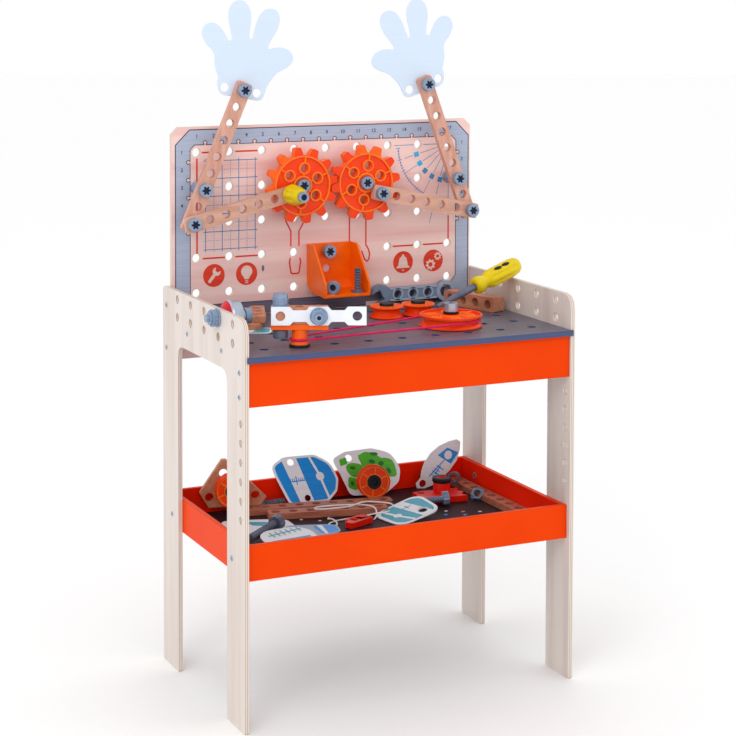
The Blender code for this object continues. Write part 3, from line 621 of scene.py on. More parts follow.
def stroke(bm, points, width, out=INK, at=on_board, closed=False):
    """A bent stroke with mitred corners through (x, z) points in mm."""
    points = [Vector(p) for p in points]
    count = len(points)
    pairs = []
    for i, p in enumerate(points):
        before = points[i - 1] if i or closed else None
        after = points[(i + 1) % count] if i < count - 1 or closed else None
        steps = [(p - before).normalized() if before is not None else None,
                 (after - p).normalized() if after is not None else None]
        steps = [s for s in steps if s is not None]
        normals = [Vector((-s.y, s.x)) for s in steps]
        mitre = sum(normals, Vector((0, 0))).normalized()
        reach = width / 2 / max(0.5, mitre.dot(normals[0]))
        pairs.append([bm.verts.new(at(*(p + mitre * k * reach), out)) for k in (1, -1)])
    links = list(zip(pairs, pairs[1:])) + ([(pairs[-1], pairs[0])] if closed else [])
    for (a, b), (c, d) in links:
        bm.faces.new((a, b, d, c))


def shape(bm, loops, out=INK, at=on_board):
    """A filled outline, with holes if there is more than one loop, from (x, z) points in mm."""
    edges = []
    for loop in loops:
        verts = [bm.verts.new(at(x, z, out)) for x, z in loop]
        edges += [bm.edges.new((a, b)) for a, b in zip(verts, verts[1:] + verts[:1])]
    bmesh.ops.triangle_fill(bm, use_beauty=True, edges=edges)


def round_loop(x, z, r, count=32, start=0.0, span=2 * math.pi):
    return [(x + r * math.cos(start + span * k / count), z + r * math.sin(start + span * k / count))
            for k in range(count)]


def clear_runs(a, b, fixed, vertical, reach=9.0):
    """Splits a line from a to b where it would cross a peg hole."""
    cuts = []
    for column in range(9):
        for row in range(5):
            hx, hz = PITCH * 1000 * (column - 4), BOARD_TOP * 1000 - 36.5 - 50 * row
            along, across = (hz, hx) if vertical else (hx, hz)
            gap = reach ** 2 - (across - fixed) ** 2
            if gap > 0:
                cuts.append((along - gap ** 0.5, along + gap ** 0.5))
    runs, at = [], a
    for low, high in sorted(cuts):
        if high < at or low > b:
            continue
        if low > at:
            runs.append((at, low))
        at = max(at, high)
    if at < b:
        runs.append((at, b))
    return runs


# %% Ruler frame
OUT_L, OUT_R, OUT_T, OUT_B = -231.5, 234.5, 755.8, 489.2
IN_L, IN_R, IN_T, IN_B = -209.6, 213.6, 734.3, 506.4
UNIT = 25.1
first_x = -199.5


def notch(x, z, dx, dz):
    """A keyhole notch 5 mm deep whose mouth is at x, z and which points along dx, dz."""
    side_x, side_z = -dz, dx
    steps = [(-1.6, 0), (-1.6, 1.4), (-2.7, 1.9), (-2.7, 4.1), (-1.3, 5.4), (1.3, 5.4), (2.7, 4.1), (2.7, 1.9),
             (1.6, 1.4), (1.6, 0)]
    return [(x + side_x * s + dx * d, z + side_z * s + dz * d) for s, d in steps]


outer_loop = [(OUT_L, OUT_B), (OUT_L, OUT_T - 21), (OUT_L + 21, OUT_T), (OUT_R - 21, OUT_T), (OUT_R, OUT_T - 21),
              (OUT_R, OUT_B + 15), (OUT_R - 12, OUT_B), (96, OUT_B), (96, OUT_B + 6), (64, OUT_B + 6), (64, OUT_B),
              (-120, OUT_B), (-120, OUT_B + 7), (-152, OUT_B + 7), (-152, OUT_B)]
inner_loop = [(IN_L, IN_B)]
for k in (4, 3, 2, 1, 0):
    inner_loop += notch(IN_L, 710.0 - UNIT * k, -1, 0)[::-1]
inner_loop += [(IN_L, IN_T - 7), (IN_L + 6.5, IN_T)]
for k in range(16):
    inner_loop += notch(first_x + UNIT * (k + 0.5), IN_T, 0, 1)[::-1]
inner_loop += [(IN_R - 6.5, IN_T), (IN_R, IN_T - 7)]
for k in range(5):
    inner_loop += notch(IN_R, 710.0 - UNIT * k, 1, 0)[::-1]
inner_loop += [(IN_R, IN_B + 18), (IN_R - 9, IN_B + 7), (IN_R - 16, IN_B)]

bm, done = ink_piece("wood_knot", plum_ink)
shape(bm, [[(-98.8 + 2.0 * math.cos(k * 0.45), 553.4 + 4.6 * math.sin(k * 0.45)) for k in range(14)]], INK)
done()
bm, done = ink_piece("ruler_band", ruler_ink)
shape(bm, [outer_loop, inner_loop], INK)
done()
bm, done = ink_piece("ruler_outline", navy_ink)
stroke(bm, outer_loop, 1.3, INK * 2, closed=True)
stroke(bm, inner_loop, 1.0, INK * 2, closed=True)
done()
bm, done = ink_piece("ruler_foot_band", plum_ink)
shape(bm, [[(OUT_L + 0.8, OUT_B + 0.8), (OUT_L + 0.8, IN_B - 0.6), (IN_R - 18, IN_B - 0.6), (IN_R - 22, OUT_B + 0.8),
            (97, OUT_B + 0.8), (97, OUT_B + 7), (63, OUT_B + 7), (63, OUT_B + 0.8), (-119, OUT_B + 0.8),
            (-119, OUT_B + 8), (-153, OUT_B + 8), (-153, OUT_B + 0.8)]], INK * 1.6)
done()


def number(text, x, z, size=7.4):
    """A generic ruler number as a flat mesh, centred on x, z."""
    curve = bpy.data.curves.new("number", "FONT")
    curve.body = text
    curve.size = size * MM
    curve.align_x = "CENTER"
    curve.align_y = "CENTER"
    curve.offset = 0.00012
    ob = bpy.data.objects.new("number", curve)
    bpy.context.scene.collection.objects.link(ob)
    bpy.context.view_layer.update()
    mesh = bpy.data.meshes.new_from_object(ob.evaluated_get(bpy.context.evaluated_depsgraph_get()))
    place = Matrix.Translation(on_board(x, z, INK * 2)) @ Matrix.Rotation(math.pi / 2, 4, "X")
    mesh.transform(place)
    bpy.data.objects.remove(ob)
    return mesh


numbers = [number(str(k + 1), first_x + UNIT * k, 746.2) for k in range(17)]
numbers += [number(str(k + 1), -222.0, 724.2 - UNIT * k) for k in range(5)]
numbers += [number(str(k + 1), 223.6, 724.2 - UNIT * k) for k in range(5)]
bm, done = ink_piece("ruler_numbers", navy_ink)
for mesh in numbers:
    bm.from_mesh(mesh)
done()
print("ruler numbers:", len(numbers))

# %% Grid, protractor and dashes
GRID_L, GRID_T, CELL = -186.5, 711.0, 12.63
bm, done = ink_piece("drawing_grid", grid_ink)
for k in range(7):
    x = GRID_L + CELL * k
    for low, high in clear_runs(GRID_T - 10 * CELL - 3.4, GRID_T + 3.0, x, True):
        if k % 2:
            dots = int((high - low) / 3.1)
            for d in range(dots):
                quad_line(bm, (x, low + 3.1 * d), (x, low + 3.1 * d + 1.5), 0.9)
        else:
            quad_line(bm, (x, low), (x, high), 1.1)
for k in range(11):
    z = GRID_T - CELL * k
    for low, high in clear_runs(GRID_L - 3.2, GRID_L + 6 * CELL + 3.6, z, False):
        if k % 2:
            dots = int((high - low) / 3.1)
            for d in range(dots):
                quad_line(bm, (low + 3.1 * d, z), (low + 3.1 * d + 1.5, z), 0.9)
        else:
            quad_line(bm, (low, z), (high, z), 1.1)
done()

ARC_X, ARC_Z, ARC_R = 201.0, 723.0, 84.0


def polar(r, degrees):
    a = math.radians(degrees)
    return ARC_X + r * math.cos(a), ARC_Z + r * math.sin(a)


bm, done = ink_piece("protractor_lines", grid_ink)
for low, high in ((-90.5, -58.0), (-42.0, -12.0)):
    quad_line(bm, (ARC_X + low, ARC_Z), (ARC_X + high, ARC_Z), 0.9)
stroke(bm, [polar(ARC_R, 183 + 3 * k) for k in range(20)], 1.0)
for k in range(20):
    half = 3.4 if k % 4 == 0 else 2.0
    quad_line(bm, polar(ARC_R - half, 183 + 3 * k), polar(ARC_R + half, 183 + 3 * k), 0.8, INK * 1.5)
for degrees, reach in ((195, 76.0), (210, 82.0), (225, 60.0), (240, 84.0), (255, 78.0), (270, 83.0)):
    for start, end in ((14.0, 50.0), (61.0, reach)):
        if end > start:
            quad_line(bm, polar(start, degrees), polar(end, degrees), 0.8)
quad_line(bm, polar(104, 255), polar(122, 255), 0.8)
done()
for k, (degrees, finish) in enumerate(((195, sky_ink), (210, sky_ink), (225, grid_ink), (240, grid_ink), (255, grid_ink))):
    bm, done = ink_piece("protractor_mark_%d" % (k + 1), finish)
    quad_line(bm, polar(51.6, degrees), polar(59.4, degrees), 7.4, INK * 2)
    done()

bm, done = ink_piece("red_outlines", red_ink)
for a, b in (((-192, 723.2), (-158, 723.2)), ((-141.5, 723.2), (-107, 723.2)), ((-191, 572.6), (-157, 572.6)),
             ((-141.5, 572.6), (-106.5, 572.6)), ((108.5, 573.3), (143, 573.3)), ((158.5, 573.3), (193, 573.3)),
             ((-199.4, 715), (-199.4, 683)), ((-199.4, 665), (-199.4, 633)), ((-199.4, 615), (-199.4, 580)),
             ((201.2, 615), (201.2, 580))):
    quad_line(bm, a, b, 2.4)
stroke(bm, [(-64, 622), (-62.4, 618), (-55.3, 604.5), (-55.3, 582.5)], 2.3)
stroke(bm, [(-34, 622), (-35, 617), (-42.6, 604), (-42.6, 582.5)], 2.3)
stroke(bm, [(-56.3, 565.5), (-57.4, 559), (-55, 544), (-52.6, 542.6), (-44.9, 542.6), (-42.4, 544), (-40, 559), (-41.2, 565.5)], 2.3)
quad_line(bm, (37.9, 632), (37.9, 580), 2.3)
stroke(bm, [(64.6, 628), (64.6, 578.5), (69, 571), (70.8, 564.5), (69.4, 556.5), (66.4, 553.8), (62.6, 557), (57.6, 570)], 2.3)
done()
print("grid cell", CELL, "mm; protractor radius", ARC_R, "mm")

# %% [markdown]
# ## Round icons
# Four red discs tell a child what each corner is for. They are drawn here as generic signs: a spanner, a
# lamp bulb, a bell and a pair of gear wheels, each left in bare wood on the red.

# %% Icons
ICON_R = 16.4


def gear_sign(x, z, r, teeth):
    loop = []
    for k in range(teeth * 4):
        a = 2 * math.pi * (k + 0.5) / (teeth * 4)
        reach = r if k % 4 < 2 else r * 0.76
        loop.append((x + reach * math.cos(a), z + reach * math.sin(a)))
    return [loop, round_loop(x, z, r * 0.42, 20)]


def spanner_sign(x, z):
    """An open spanner, its jaw up and to the right."""
    a = math.radians(52)
    points = [(-11.5, -2.3), (1.2, -2.3), (3.0, -5.2), (7.0, -6.4), (11.0, -4.6), (6.6, -1.9), (6.6, 1.9), (11.0, 4.6),
              (7.0, 6.4), (3.0, 5.2), (1.2, 2.3), (-11.5, 2.3), (-13, 0)]
    return [[(x + px * math.cos(a) - pz * math.sin(a), z + px * math.sin(a) + pz * math.cos(a)) for px, pz in points]]


def bulb_sign(x, z):
    glass = [(x + 8.6 * math.cos(t), z + 3.2 + 8.6 * math.sin(t))
             for t in [math.radians(-52 + 284 * k / 24) for k in range(25)]]
    return [glass + [(x - 3.0, z - 8.0), (x + 3.0, z - 8.0)]]


def bell_sign(x, z):
    half = [(0, 11.8), (1.6, 11), (1.9, 9), (5.6, 6.2), (6.9, 1.0), (7.6, -4.2), (11.0, -7.6), (11.0, -8.8)]
    return [[(x + px, z + pz) for px, pz in half] + [(x - px, z + pz) for px, pz in half[:0:-1]]]


icons = {"icon_spanner": (-174.0, 547.6, spanner_sign(-174.0, 547.6)),
         "icon_bulb": (-124.0, 547.2, bulb_sign(-124.0, 547.2)),
         "icon_bell": (125.8, 548.8, bell_sign(125.8, 548.8)),
         "icon_gears": (176.0, 548.4, gear_sign(171.6, 542.6, 8.2, 8))}
bm, done = ink_piece("icon_discs", red_ink)
for x, z, sign in icons.values():
    shape(bm, [round_loop(x, z, ICON_R, 48)])
done()
bm, done = ink_piece("icon_signs", icon_wood)
for x, z, sign in icons.values():
    shape(bm, sign, INK * 2)
shape(bm, gear_sign(183.6, 554.6, 6.2, 8), INK * 2)
shape(bm, [round_loop(125.8, 537.8, 2.0, 12, math.pi, math.pi)], INK * 2)
for z in (536.9, 534.4):
    quad_line(bm, (-126.4, z), (-121.6, z), 1.3, INK * 2)
done()

# %% [markdown]
# ## Turned parts and bolts
# Pulleys, wheels, nuts and bolt heads are round, so each is a profile spun about its axis. A bolt of this
# toy has a fat round head with a six-lobed recess for the toy screwdriver: the head is a plate with a
# star-shaped hole, and a navy disc closes the hole a few millimetres down. The disc's dark navy is painted
# shade: it stands in for the shade at the bottom of the recess.

# %% Turning, fluting and bolts


def spot(x, y, z):
    """A point over the worktop or the tray, in mm from the middle of the bench and the floor."""
    return Vector((MID_X + x * MM, MID_Y + y * MM, z * MM))


def lathe(bm, profile, centre, out, count=40, material=0):
    """Spins a profile of (radius, height) in mm about an axis along out."""
    u, _, out = axes_of(out)
    line = [bm.verts.new(centre + u * r * MM + out * h * MM) for r, h in profile]
    edges = [bm.edges.new(pair) for pair in zip(line, line[1:])]
    spun = bmesh.ops.spin(bm, geom=line + edges, cent=centre, axis=out, angle=2 * math.pi, steps=count, use_merge=True)
    bmesh.ops.remove_doubles(bm, verts=bm.verts, dist=0.00001)
    return spun


def turned(name, profile, centre, out, finish, body, bevel=0.0, count=40, smooth=38.0):
    bm = bmesh.new()
    lathe(bm, profile, Vector(centre), out, count)
    return new_piece(name, bm, finish, body, bevel, 2, smooth=smooth)


def prism(bm, centre, radius, out, low, high, count=6, wave=0.0, lobes=6, start=0.0, hole=0.0, material=0):
    """An upright prism or lobed disc around an axis, with an optional round hole; sizes in mm."""
    out = Vector(out).normalized()
    top = centre + out * high * MM
    loops = [ring_points(top, radius * MM, out, count, wave, lobes, start)]
    if hole:
        loops.append(ring_points(top, hole * MM, out, 24))
    part = filled(loops, out, (high - low) * MM)
    bmesh.ops.recalc_face_normals(part, faces=part.faces)
    for f in part.faces:
        f.material_index = material
    mesh = bpy.data.meshes.new("part")
    part.to_mesh(mesh)
    part.free()
    bm.from_mesh(mesh)
    bpy.data.meshes.remove(mesh)


def star_head(bm, centre, out, low, high, radius=9.4):
    """A round bolt head with a star recess; the dark floor of the recess is painted shade."""
    out = Vector(out).normalized()
    top = centre + out * high * MM
    head = filled([ring_points(top, radius * MM, out, 40), ring_points(top, 5.2 * MM, out, 48, 0.28)], out,
                  (high - low) * MM)
    bmesh.ops.recalc_face_normals(head, faces=head.faces)
    mesh = bpy.data.meshes.new("head")
    head.to_mesh(mesh)
    head.free()
    bm.from_mesh(mesh)
    bpy.data.meshes.remove(mesh)
    prism(bm, centre, 7.0, out, low + 0.2, high - 2.2, 24, material=1)


def bolt_piece(node, centre, out, head, collars, star=True):
    """Rebuilds a bolt: head is (from, to) and each collar is (radius, from, to), in mm along its axis."""
    bm = bmesh.new()
    if star:
        star_head(bm, centre, out, *head)
    for radius, low, high in collars:
        prism(bm, centre, radius, out, low, high, 24)
    piece = new_piece(node + "_turned", bm, [bolt_grey, recess_painted_shade], body_of(node), 0.0008, 2)
    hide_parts(node)
    return piece


def axis_point(node, out):
    """The middle of a bolt's box, moved along its axis to the board's face."""
    low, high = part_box(node)
    mid = (low + high) / 2
    return Vector((mid.x, BOARD_Y, mid.z)) if abs(out.y) > 0.9 else mid


bolts = {"gear_bolt": ((28.9, 37.7), [(5.5, -15, 29.0)]),
         "pivot_bolt": ((32.0, 41.2), [(5.5, -15, 0.6), (9.4, 0.5, 22.4), (5.5, 22.3, 32.1)]),
         "elbow_bolt": ((41.5, 50.6), [(9.4, 13, 22.4), (5.5, 22.3, 31.2), (4.4, 31.1, 41.6)]),
         "hand_bolt": ((32.0, 41.2), [(9.4, 10.5, 19.9), (5.5, 19.8, 32.1)])}
for side_name in ("left", "right"):
    for kind, (head, collars) in bolts.items():
        node = side_name + "_" + kind
        bolt_piece(node, axis_point(node, FRONT), FRONT, head, collars)
bolt_piece("right_crank_bolt", axis_point("right_crank_bolt", FRONT), FRONT, (41.5, 50.6), [(5.5, 14, 41.6)])
bolt_piece("bin_bolt", axis_point("bin_bolt", FRONT), FRONT, (8.2, 17.6), [(5.5, -15, 4.1), (8.0, 4.0, 8.3)])
crank = axis_point("left_crank_bolt", FRONT)
bm = bmesh.new()
prism(bm, crank, 5.5, FRONT, 14, 41.6, 24)
prism(bm, crank, 5.0, FRONT, 41.5, 82.1, 24)
prism(bm, crank, 7.6, FRONT, 82.0, 89.0, 32, hole=4.4)
# Painted shade: a dark navy disc at the bottom of the crank bolt's hole.
prism(bm, crank, 5.4, FRONT, 82.2, 86.0, 24, material=1)
piece = new_piece("left_crank_bolt_turned", bm, [bolt_grey, recess_painted_shade], "left_gear", 0.0006, 2)
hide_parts("left_crank_bolt")
print("board bolts done")

# %% [markdown]
# ## Gears
# Each gear is moulded in two tones: the disc is red-orange, and the teeth and the thin raised lines are a
# lighter orange. The lines are a rim ring, a ring round every hole, a hub ring and six spokes that run
# through the holes. The model's own toothed shape stays and gets rounded edges and these lines.

# %% Gears


def gear_lines(name, centre, out, low, high, rim, hub, eye_r, ring_r, start, body, finish, spokes=6):
    """Raised rings and spokes on a wheel's face; radii in mm, start is the angle of the first hole."""
    u, v, out = axes_of(out)
    bm = bmesh.new()

    def band(middle, inner, outer, count=48):
        top = middle + out * high * MM
        part = filled([ring_points(top, outer * MM, out, count), ring_points(top, inner * MM, out, count)], out,
                      (high - low) * MM)
        mesh = bpy.data.meshes.new("band")
        part.to_mesh(mesh)
        part.free()
        bm.from_mesh(mesh)
        bpy.data.meshes.remove(mesh)

    band(centre, rim - 1.7, rim, 64)
    band(centre, hub - 1.8, hub, 40)
    for k in range(spokes):
        a = start + 2 * math.pi * k / spokes
        along, across = u * math.cos(a) + v * math.sin(a), v * math.cos(a) - u * math.sin(a)
        if ring_r:
            band(centre + along * ring_r * MM, eye_r - 1.6, eye_r, 28)
        runs = ((hub - 0.4, ring_r - eye_r + 0.4), (ring_r + eye_r - 0.4, rim - 1.4)) if ring_r else ((hub, rim - 1.4),)
        for r1, r2 in runs:
            corners = [centre + along * r * MM + across * s * 0.8 * MM + out * high * MM
                       for r, s in ((r1, -1), (r1, 1), (r2, 1), (r2, -1))]
            part = filled([corners], out, (high - low) * MM)
            mesh = bpy.data.meshes.new("spoke")
            part.to_mesh(mesh)
            part.free()
            bm.from_mesh(mesh)
            bpy.data.meshes.remove(mesh)
    return new_piece(name, bm, finish, body, 0.0)


def toothed(node, hole_angle):
    low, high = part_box(node)
    centre = Vector(((low.x + high.x) / 2, BOARD_Y, (low.z + high.z) / 2))
    bm = merged_copy(node)
    for f in bm.faces:
        middle = f.calc_center_median()
        reach = Vector((middle.x - centre.x, 0, middle.z - centre.z)).length
        f.material_index = 0 if reach < 0.0400 and f.normal.y < -0.9 else 1
    piece = new_piece(node + "_moulding", bm, [gear_orange, tooth_orange], node, 0.0006, 2)
    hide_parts(node)
    u, v, _ = axes_of(FRONT)
    pin = Vector((math.cos(hole_angle), 0, math.sin(hole_angle)))
    start = math.atan2(pin.dot(v), pin.dot(u))
    gear_lines(node + "_lines", centre, FRONT, 28.0, 32.1, 42.6, 14.2, 8.6, 25.0, start, node, gear_light)


axle_z = ROW_Z[1]
for node, sign in (("left_gear", -1), ("right_gear", 1)):
    pin = axis_point("left_crank_bolt" if sign < 0 else "right_crank_bolt", FRONT)
    toothed(node, math.atan2(pin.z - axle_z, pin.x - (MID_X + sign * PITCH)))

# %% [markdown]
# ## Yellow grips
# The crank handle and the screwdriver have the same moulded grip: a turned body with long flutes for
# small fingers. The flutes are cut by drawing the turned surface in where a wave round the axis is low.

# %% Crank handle and screwdriver


def flute(bm, centre, out, low, high, lobes, depth):
    """Draws points in towards the axis in a wave of lobes, between two heights in mm."""
    u, v, out = axes_of(out)
    for vert in bm.verts:
        d = vert.co - centre
        h = d.dot(out) / MM
        if low <= h <= high:
            a = math.atan2(d.dot(v), d.dot(u))
            fade = min(1.0, (h - low) / 5.0 + 0.15, (high - h) / 5.0 + 0.15)
            flat = d - out * d.dot(out)
            vert.co -= flat * depth * fade * (0.5 - 0.5 * math.cos(lobes * a)) ** 2


def denser(profile, step=2.0):
    """Adds points along a profile so that its surface can be drawn in smoothly."""
    points = [profile[0]]
    for (r0, h0), (r1, h1) in zip(profile, profile[1:]):
        n = max(1, int(math.hypot(r1 - r0, h1 - h0) / step))
        points += [(r0 + (r1 - r0) * k / n, h0 + (h1 - h0) * k / n) for k in range(1, n + 1)]
    return points


bm = bmesh.new()
lathe(bm, denser([(5.6, 42), (12.4, 42), (13.6, 43.2), (14.6, 47), (14.6, 56), (13.4, 64), (11.0, 74), (9.4, 80.5),
                  (8.6, 81.6), (5.6, 81.6), (5.6, 42)]), crank, FRONT, 64)
flute(bm, crank, FRONT, 46, 72, 8, 0.13)
piece = new_piece("crank_handle_grip", bm, handle_yellow, "crank_handle", smooth=50.0)
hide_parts("crank_handle")

shaft_low, shaft_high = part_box("screwdriver_shaft")
grip_low, grip_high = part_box("screwdriver_handle")
driver_tip, driver_end = spot(99.0, -24.0, 509.6), spot(247.0, 9.6, 555.6)
driver_axis = (driver_end - driver_tip).normalized()
driver_len = (driver_end - driver_tip).length / MM
turned("screwdriver_blade", [(0, 0.2), (2.6, 0.2), (2.9, 4), (3.1, 20), (5.2, 34), (5.2, 97.5), (0, 97.5)], driver_tip,
       driver_axis, steel_grey, "screwdriver", 0.0, 32)
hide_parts("screwdriver_shaft")
bm = bmesh.new()
lathe(bm, denser([(0, 98.4), (5.6, 98.4), (5.6, 73), (8.5, 73), (11.4, 74.6), (12.6, 79), (12.2, 84), (9.6, 90), (9.4, 94),
                  (12.2, 99), (13.8, 106), (13.9, driver_len - 16), (12.6, driver_len - 6), (10.2, driver_len - 1.4),
                  (7.5, driver_len), (0, driver_len)], 2.4), driver_tip, driver_axis, 64)
flute(bm, driver_tip, driver_axis, 100, driver_len - 6, 8, 0.16)
piece = new_piece("screwdriver_grip", bm, handle_yellow, "screwdriver", smooth=50.0)
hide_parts("screwdriver_handle")
grip_u = driver_axis.cross(UP).normalized()
grip_up = grip_u.cross(driver_axis)
bm = bmesh.new()
for low, high in ((112.0, 124.0), (127.0, 139.0)):
    mid = driver_tip + driver_axis * (low + high) / 2 * MM + grip_up * 11.4 * MM + grip_u * 5.2 * MM
    made = bmesh.ops.create_uvsphere(bm, u_segments=24, v_segments=12, radius=1.0)
    lay = Matrix((driver_axis, grip_u, grip_up)).transposed().to_4x4()
    bmesh.ops.transform(bm, verts=made["verts"], matrix=Matrix.Translation(mid) @ lay @ Matrix.Diagonal(
        (6.6 * MM, 4.6 * MM, 1.9 * MM, 1.0)))
new_piece("screwdriver_inlays", bm, soft_black, "screwdriver")

# %% [markdown]
# ## Worktop machine
# The block, its bracket and the pulleys stand on the worktop. The pulleys are turned wheels with a deep
# groove for the rubber band; the two small ones have black hubs, and the large one has a recessed face
# with a ring of oval windows, drawn here as raised round rings. The band is round rubber cord, so its edges
# are rounded right over.

# %% Pulleys, spool, block and band
pulley_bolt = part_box("large_pulley_bolt")
pulley_x, pulley_y = (pulley_bolt[0] + pulley_bolt[1]).xy / 2
pulley = Vector((pulley_x, pulley_y, 0))
turned("large_pulley_wheel",
       [(6.3, 488.8), (43.2, 488.8), (43.8, 489.4), (43.8, 490.8), (43.2, 491.6), (38.6, 494.6), (38.3, 496), (38.3, 500),
        (38.8, 501.4), (43.2, 503.0), (43.8, 503.8), (43.8, 505.2), (43.2, 505.8), (41.2, 505.8), (40.8, 505.2),
        (40.8, 503.0), (13.6, 503.0), (13.2, 505.8), (6.3, 505.8), (6.3, 488.8)], pulley, UP, gear_orange,
       "large_pulley", 0.0, 96, 30.0)
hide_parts("large_pulley")
gear_lines("large_pulley_lines", pulley, UP, 502.5, 504.6, 42.8, 15.0, 7.0, 27.5, 0.3, "large_pulley", gear_light)
bm = bmesh.new()
star_head(bm, pulley, UP, 509.2, 520.8, 9.7)
prism(bm, pulley, 5.5, UP, 470, 506.3, 24)
prism(bm, pulley, 9.2, UP, 508.9, 509.4, 24)
piece = new_piece("large_pulley_bolt_turned", bm, [screw_steel, recess_painted_shade], "bench", 0.0008)
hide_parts("large_pulley_bolt")
turned("large_pulley_washer", [(5.6, 506.2), (10.6, 506.2), (11.0, 506.8), (11.0, 508.6), (10.6, 509.1), (5.6, 509.1),
                               (5.6, 506.2)], pulley, UP, soft_black, "bench")

for node in ("small_pulley_left", "small_pulley_right"):
    low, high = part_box(node)
    axis = Vector(((low.x + high.x) / 2, (low.y + high.y) / 2, 0))
    turned(node + "_wheel",
           [(0, 470), (5.6, 470), (5.6, 488.6), (23.6, 488.6), (24.2, 489.2), (24.2, 490.2), (23.6, 490.9),
            (19.8, 493.6), (19.5, 494.6), (19.5, 498.6), (19.8, 499.6), (23.6, 502.0), (24.2, 502.7), (24.2, 503.8),
            (23.6, 504.4), (9.5, 504.4), (0, 504.4)], axis, UP, gear_orange, node, 0.0, 64, 30.0)
    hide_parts(node)
    gear_lines(node + "_lines", axis, UP, 504.2, 504.9, 23.4, 12.0, 1.0, 0, 0.4, node, gear_light)
    turned(node + "_hub", [(0, 504.5), (9.9, 504.5), (10.4, 505.1), (10.4, 507.6), (9.8, 508.6), (0, 508.6)], axis, UP,
           soft_black, node, 0.0, 40)

drive = spot(-150, -113, 0)
drive_turn = Matrix.Translation(drive) @ Matrix.Rotation(math.radians(-23), 4, "Z")
turned("drive_spool_turned",
       [(0, 470), (5.6, 470), (5.6, 488.6), (12.2, 488.6), (12.2, 495.2), (11.6, 496.2), (10.0, 496.6), (10.0, 512),
        (0, 512)], drive, UP, tooth_orange, "drive_crank", 0.0, 48)
turned("drive_spool_ring", [(10.0, 488.5), (13.2, 488.5), (13.6, 489.0), (13.6, 491.2), (13.2, 491.8), (10.0, 491.8),
                            (10.0, 488.5)], drive, UP, soft_black, "drive_crank", 0.0, 48)


def bar_outline(matrix, half_long, half_wide, z, corner=2.5):
    """The rounded outline of a bar that lies along the local X axis of matrix, at height z in mm."""
    corners = [(-half_long, -half_wide), (half_long, -half_wide), (half_long, half_wide), (-half_long, half_wide)]
    points = []
    for (x, y), start in zip(corners, (180, 270, 0, 90)):
        cx, cy = x - math.copysign(corner, x), y - math.copysign(corner, y)
        for k in range(5):
            a = math.radians(start + 22.5 * k)
            points.append(matrix @ Vector(((cx + corner * math.cos(a)) * MM, (cy + corner * math.sin(a)) * MM, z * MM)))
    return points


holes = [ring_points(drive_turn @ Vector((s * MM, 0, 519 * MM)), HOLE_R, UP, 28) for s in (-25, 25)]
bm = filled([bar_outline(drive_turn, 37.5, 11.1, 519)] + holes, UP, 0.0075)
new_piece("drive_spool_bar", bm, tooth_orange, "drive_crank", 0.0007)
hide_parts("drive_spool")
softened("drive_block", beech_block, 0.0007)
FACE = Vector((-math.sin(math.radians(23)), -math.cos(math.radians(23)), 0))
replated("drive_bracket", FACE, bracket_white, 0.0005)

nut = drive_turn @ Vector((25 * MM, 0, 530.4 * MM))
bm = bmesh.new()
prism(bm, nut, 5.5, FACE, -12, 15.2, 24)
prism(bm, nut, 9.4, FACE, -20, -11.4, 32)
prism(bm, nut, 11.8, FACE, 15.0, 18.0, 40)
prism(bm, nut, 11.2, FACE, 18.0, 24.5, 6, start=0.26)
prism(bm, nut, 5.6, FACE, 24.4, 30.0, 28, hole=2.6)
# Painted shade: a dark navy disc at the bottom of the bolt's hole.
prism(bm, nut, 4.0, FACE, 24.6, 28.6, 20, material=1)
piece = new_piece("bracket_bolt_turned", bm, [bolt_grey, recess_painted_shade], "drive_crank", 0.0008)
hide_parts("bracket_bolt")

crown = drive_turn @ Vector((-25 * MM, 0, 0))
bm = bmesh.new()
prism(bm, crown, 5.5, UP, 510, 541.4, 24)
prism(bm, crown, 9.8, UP, 499.4, 510.6, 36, material=2)
prism(bm, crown, 11.2, UP, 541.2, 543.6, 36)
prism(bm, crown, 9.8, UP, 543.4, 549.4, 60, 0.05, 12)
prism(bm, crown, 10.8, UP, 549.2, 551.6, 60, 0.03, 12)
prism(bm, crown, 9.6, UP, 551.4, 558.0, 60, 0.07, 6)
prism(bm, crown, 5.0, UP, 552.0, 558.6, 24)
piece = new_piece("block_bolt_turned", bm, [bolt_grey, recess_painted_shade, steel_grey], "drive_crank", 0.0006)
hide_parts("block_bolt")

softened("drive_belt", band_rubber, 0.0011, 3)
print("worktop machine done")

# %% [markdown]
# ## Wrench, block, bin and bell
# The wrench is moulded with a sunken web between raised edges and a raised ring round every hole. The bin
# is a plain orange box with a thick lip. The bell is a silver cup with a crimson disc in it, clamped to
# the side panel by a serrated nut.

# %% Wrench, block, bin, bell
softened("wrench", wrench_grey, 0.0009, smooth=30.0)
w_low, w_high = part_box("wrench")
bm = bmesh.new()


def add_part(target, part):
    """Copies a small bmesh into a larger one and frees it."""
    mesh = bpy.data.meshes.new("part")
    part.to_mesh(mesh)
    part.free()
    target.from_mesh(mesh)
    bpy.data.meshes.remove(mesh)


for x in (110.8, 135.8, 160.8):
    top = on_board(x, 504, 14.2)
    add_part(bm, filled([ring_points(top, 9.0 * MM, FRONT, 32), ring_points(top, 6.4 * MM, FRONT, 32)], FRONT, 0.0014))
for z in (495.6, 512.2):
    corners = [on_board(x, z + dz, 14.2) for x, dz in ((98, -1.4), (176, -1.4), (176, 1.4), (98, 1.4))]
    add_part(bm, filled([corners], FRONT, 0.0014))
top = on_board(190.8, 504, 14.2)
add_part(bm, filled([ring_points(top, 15.6 * MM, FRONT, 40), ring_points(top, 10.6 * MM, FRONT, 6, start=-0.2)], FRONT, 0.0014))
new_piece("wrench_raised_edges", bm, wrench_rim, "wrench", 0.0004)
replated("beam_block", (0.954, 0.3, 0), beech_block, 0.001)
softened("tool_bin", bin_orange, 0.0008)

